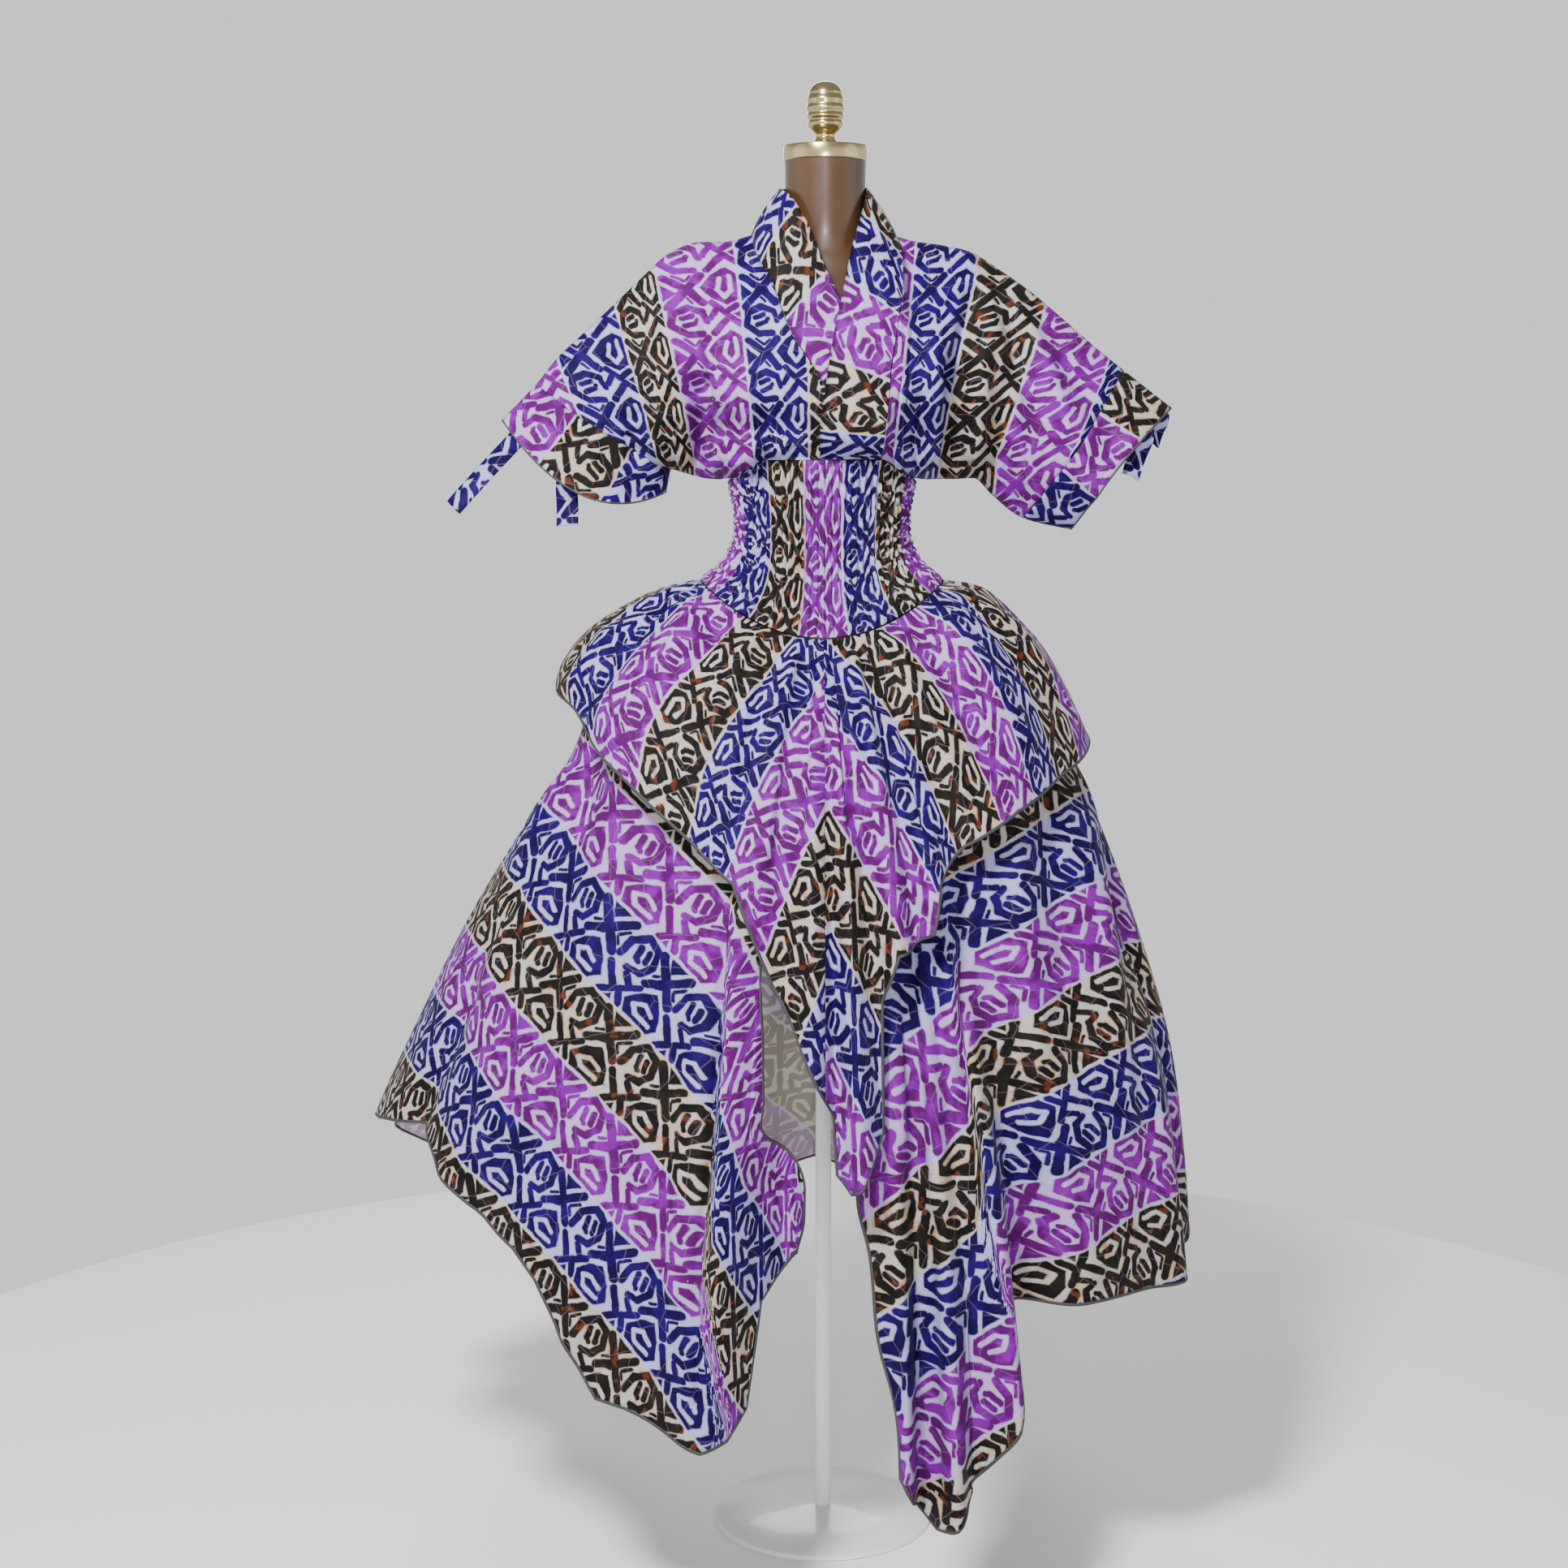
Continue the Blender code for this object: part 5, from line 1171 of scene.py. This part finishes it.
def cloth_material(name, fade):
    """The printed cloth. fade is how far the colours pale toward the ground on the reverse side."""
    material, tree, shader = new_material(name)
    flat = node(tree, "UVMap", uv_map="cloth").outputs[0]
    wobble = vector(tree, "SUBTRACT", noise(tree, flat, 75.0, 2.0, 0.5, output=1), (0.5, 0.5, 0.5))
    bent = vector(tree, "MULTIPLY_ADD", wobble, (0.0032, 0.0032, 0.0), flat)
    cells = vector(tree, "MULTIPLY", bent, (1.0 / PRINT_CELL, 1.0 / PRINT_CELL, 0.0))
    whole = vector(tree, "FLOOR", cells)
    place = vector(tree, "SUBTRACT", cells, whole)
    row = calc(tree, "FLOORED_MODULO", node(tree, "SeparateXYZ", whole).outputs[1], 3.0)
    # The motif: strokes and filled shapes, less the pale strokes, inside the stripe's border.
    distance = nearest(tree, place, INK_LINES)
    for corners in INK_SHAPES:
        distance = calc(tree, "MINIMUM", distance, shape_distance(tree, place, corners))
    pale = calc(tree, "MULTIPLY", nearest(tree, place, PALE_LINES), -1.0)
    distance = calc(tree, "MAXIMUM", distance, pale)
    from_middle = calc(tree, "SUBTRACT", node(tree, "SeparateXYZ", place).outputs[1], 0.5)
    border = calc(tree, "SUBTRACT", calc(tree, "ABSOLUTE", from_middle), STRIPE_HALF)
    distance = calc(tree, "MAXIMUM", distance, border)
    ink = inverse(tree, soft_step(tree, distance, -0.010, 0.012))
    halo = inverse(tree, soft_step(tree, distance, 0.010, 0.055))
    tone = soft_step(tree, noise(tree, flat, 38.0, 3.0, 0.55), 0.42, 0.62)
    patch = soft_step(tree, noise(tree, flat, 26.0, 2.0, 0.6), 0.50, 0.66)
    is_black = calc(tree, "COMPARE", row, 1.0, 0.5)
    is_navy = calc(tree, "COMPARE", row, 2.0, 0.5)
    colours = []
    for k in (1, 2, 3):
        mixed = blend(tree, is_black, STRIPES[0][k], STRIPES[1][k])
        colours.append(blend(tree, is_navy, mixed, STRIPES[2][k]))
    inked = blend(tree, tone, colours[0], colours[1])
    # Round the ink of the black stripes lie ochre patches and rust sparks, round the others a tint.
    black_halo = calc(tree, "MULTIPLY", halo, is_black)
    warm = calc(tree, "MULTIPLY", calc(tree, "MULTIPLY", black_halo, patch), 0.62)
    ground = blend(tree, warm, colours[2], OCHRE)
    tinted = calc(tree, "MULTIPLY", calc(tree, "MULTIPLY", halo, inverse(tree, is_black)), 0.10)
    ground = blend(tree, tinted, ground, inked)
    spark = soft_step(tree, noise(tree, flat, 61.0, 2.0, 0.5), 0.62, 0.70)
    spark = calc(tree, "MULTIPLY", calc(tree, "MULTIPLY", spark, black_halo), 0.42)
    colour = blend(tree, spark, blend(tree, ink, ground, inked), RUST)
    cracks = {"feature": "DISTANCE_TO_EDGE", "voronoi_dimensions": "2D"}
    vein = node(tree, "TexVoronoi", bent, None, 24.0, **cracks).outputs[0]
    vein = calc(tree, "MULTIPLY", inverse(tree, soft_step(tree, vein, 0.004, 0.022)), 0.22)
    colour = blend(tree, vein, colour, VEIN)
    if fade > 0.0:
        colour = blend(tree, fade, colour, REVERSE_GROUND)
    weave = calc(tree, "MULTIPLY", noise(tree, flat, 950.0, 2.0, 0.6), 0.05)
    height = calc(tree, "ADD", weave, noise(tree, flat, 34.0, 4.0, 0.5))
    feed(tree, shader, {"Base Color": colour, "Normal": bump(tree, height, 0.35, 0.0022)})
    feed(tree, shader, {"Roughness": 0.62, "Specular IOR Level": 0.07})
    feed(tree, shader, {"Sheen Weight": 0.02, "Sheen Roughness": 0.45})
    return material


def thread_material():
    """The dark overlock thread round the free edges, with slanted stitches."""
    material, tree, shader = new_material("overlock_thread")
    parts = node(tree, "SeparateXYZ", node(tree, "UVMap", uv_map="cloth").outputs[0])
    slant = calc(tree, "MULTIPLY_ADD", parts.outputs[0], 520.0, parts.outputs[1])
    stitch = calc(tree, "PINGPONG", slant, 0.5)
    colour = blend(tree, calc(tree, "MULTIPLY", stitch, 2.0), THREAD_DARK, THREAD_PALE)
    normal = bump(tree, stitch, 0.5, 0.0006)
    feed(tree, shader, {"Base Color": colour, "Roughness": 0.7, "Normal": normal})
    return material


def plain_material(name, colour, roughness, metallic, grain, grain_scale, coat=0.0):
    """A glossy or metal finish with slight mottling and fine unevenness."""
    material, tree, shader = new_material(name)
    where = node(tree, "TexCoord").outputs["Object"]
    tone = node(tree, "TexNoise", where, None, grain_scale, 4.0, 0.6).outputs[0]
    dark = [c * (1.0 - grain) for c in colour]
    light = [min(1.0, c * (1.0 + grain)) for c in colour]
    mottled = blend(tree, soft_step(tree, tone, 0.35, 0.65), dark, light)
    rough = node(tree, "MapRange", tone, 0.3, 0.7, roughness * 0.85, roughness * 1.2).outputs[0]
    normal = bump(tree, tone, 0.12, 0.0004)
    feed(tree, shader, {"Base Color": mottled, "Roughness": rough, "Normal": normal})
    feed(tree, shader, {"Metallic": metallic, "Coat Weight": coat})
    return material


REVERSE_FADE = 0.29
CLOTH_MATERIALS = [
    cloth_material("printed_cloth", 0.0),
    cloth_material("printed_cloth_reverse", REVERSE_FADE),
]
THREAD = thread_material()
BROWN = (0.055, 0.026, 0.010)
FORM_COVER = plain_material("brown_gloss_cover", BROWN, 0.30, 0.0, 0.10, 9.0, coat=0.10)
GOLD = plain_material("pale_gold", (0.58, 0.47, 0.25), 0.20, 1.0, 0.06, 40.0)
ENAMEL = plain_material("white_enamel", (0.78, 0.78, 0.77), 0.32, 0.0, 0.03, 14.0, coat=0.3)

make_form()
lathe("neck_cap_gold", "neck_cap", CAP_PROFILE, 128, GOLD)
finial_steps = np.linspace(0, len(FINIAL_PROFILE) - 1, 97)
smooth_finial = columns(numbered(FINIAL_PROFILE), (1, 2), finial_steps)
lathe("finial_gold", "finial", smooth_finial, 96, GOLD)
lathe("stand_pole_tube", "stand_pole", POLE_PROFILE, 64, ENAMEL)
lathe("stand_base_plate", "stand_base", BASE_PROFILE, 160, ENAMEL)
make_smock("smock_front", -90.0)
make_smock("smock_back", 90.0)
ring_layer("peplum", PEPLUM_LINES, PEPLUM_FOLDS, PEPLUM_LENGTH, PEPLUM_SETS, {}, PEPLUM_CREASES, 70)
edges = {"front_left": SKIRT_EDGE_LEFT, "front_right": SKIRT_EDGE_RIGHT}
ring_layer("skirt", SKIRT_LINES, SKIRT_FOLDS, SKIRT_LENGTH, SKIRT_SETS, edges, SKIRT_CREASES, 120)
for side in ("left", "right"):
    make_bodice_half(side)
    make_band(side)
for tie in TIES:
    make_tie(*tie)

# The floor, the camera at the photograph's place, and soft studio light.
floor_turns = round_turns(FLOOR_CORNERS)
floor_rim = FLOOR_RADIUS * stacked(np.cos(floor_turns), np.sin(floor_turns), 0.0)
floor_material, floor_tree, floor_shader = new_material("pale_floor")
feed(floor_tree, floor_shader, {"Base Color": (0.93, 0.93, 0.93, 1.0), "Roughness": 0.8})
floor = add_object("floor", floor_rim, [range(FLOOR_CORNERS)], [floor_material])

camera_data = bpy.data.cameras.new("camera")
camera_data.lens = 58.73
camera_data.sensor_width = 36.0
camera_data.sensor_fit = "HORIZONTAL"
camera = bpy.data.objects.new("camera", camera_data)
camera.location = (-0.0474, -3.0, 1.32)
camera.rotation_euler = (math.radians(82.2), 0.0, 0.0)
bpy.context.scene.collection.objects.link(camera)
bpy.context.scene.camera = camera

for name, x, y, z, aim_z, size, watts in LIGHTS:
    light_data = bpy.data.lights.new(name, "AREA")
    light_data.shape = "DISK"
    light_data.size = size
    light_data.energy = watts
    light = bpy.data.objects.new(name, light_data)
    light.location = (x, y, z)
    light.rotation_euler = (math.atan2(math.hypot(x, y), z - aim_z), 0.0, math.atan2(x, -y))
    bpy.context.scene.collection.objects.link(light)

world = bpy.data.worlds.new("studio")
world.use_nodes = True
sky = world.node_tree
high = node(sky, "SeparateXYZ", node(sky, "TexCoord").outputs["Generated"]).outputs[2]
softer = node(sky, "MapRange", high, 0.18, 0.34, 0.95, 0.34, interpolation_type="SMOOTHSTEP")
feed(sky, sky.nodes["Background"], {0: (1.0, 1.0, 1.0, 1.0), 1: softer.outputs[0]})
bpy.context.scene.world = world
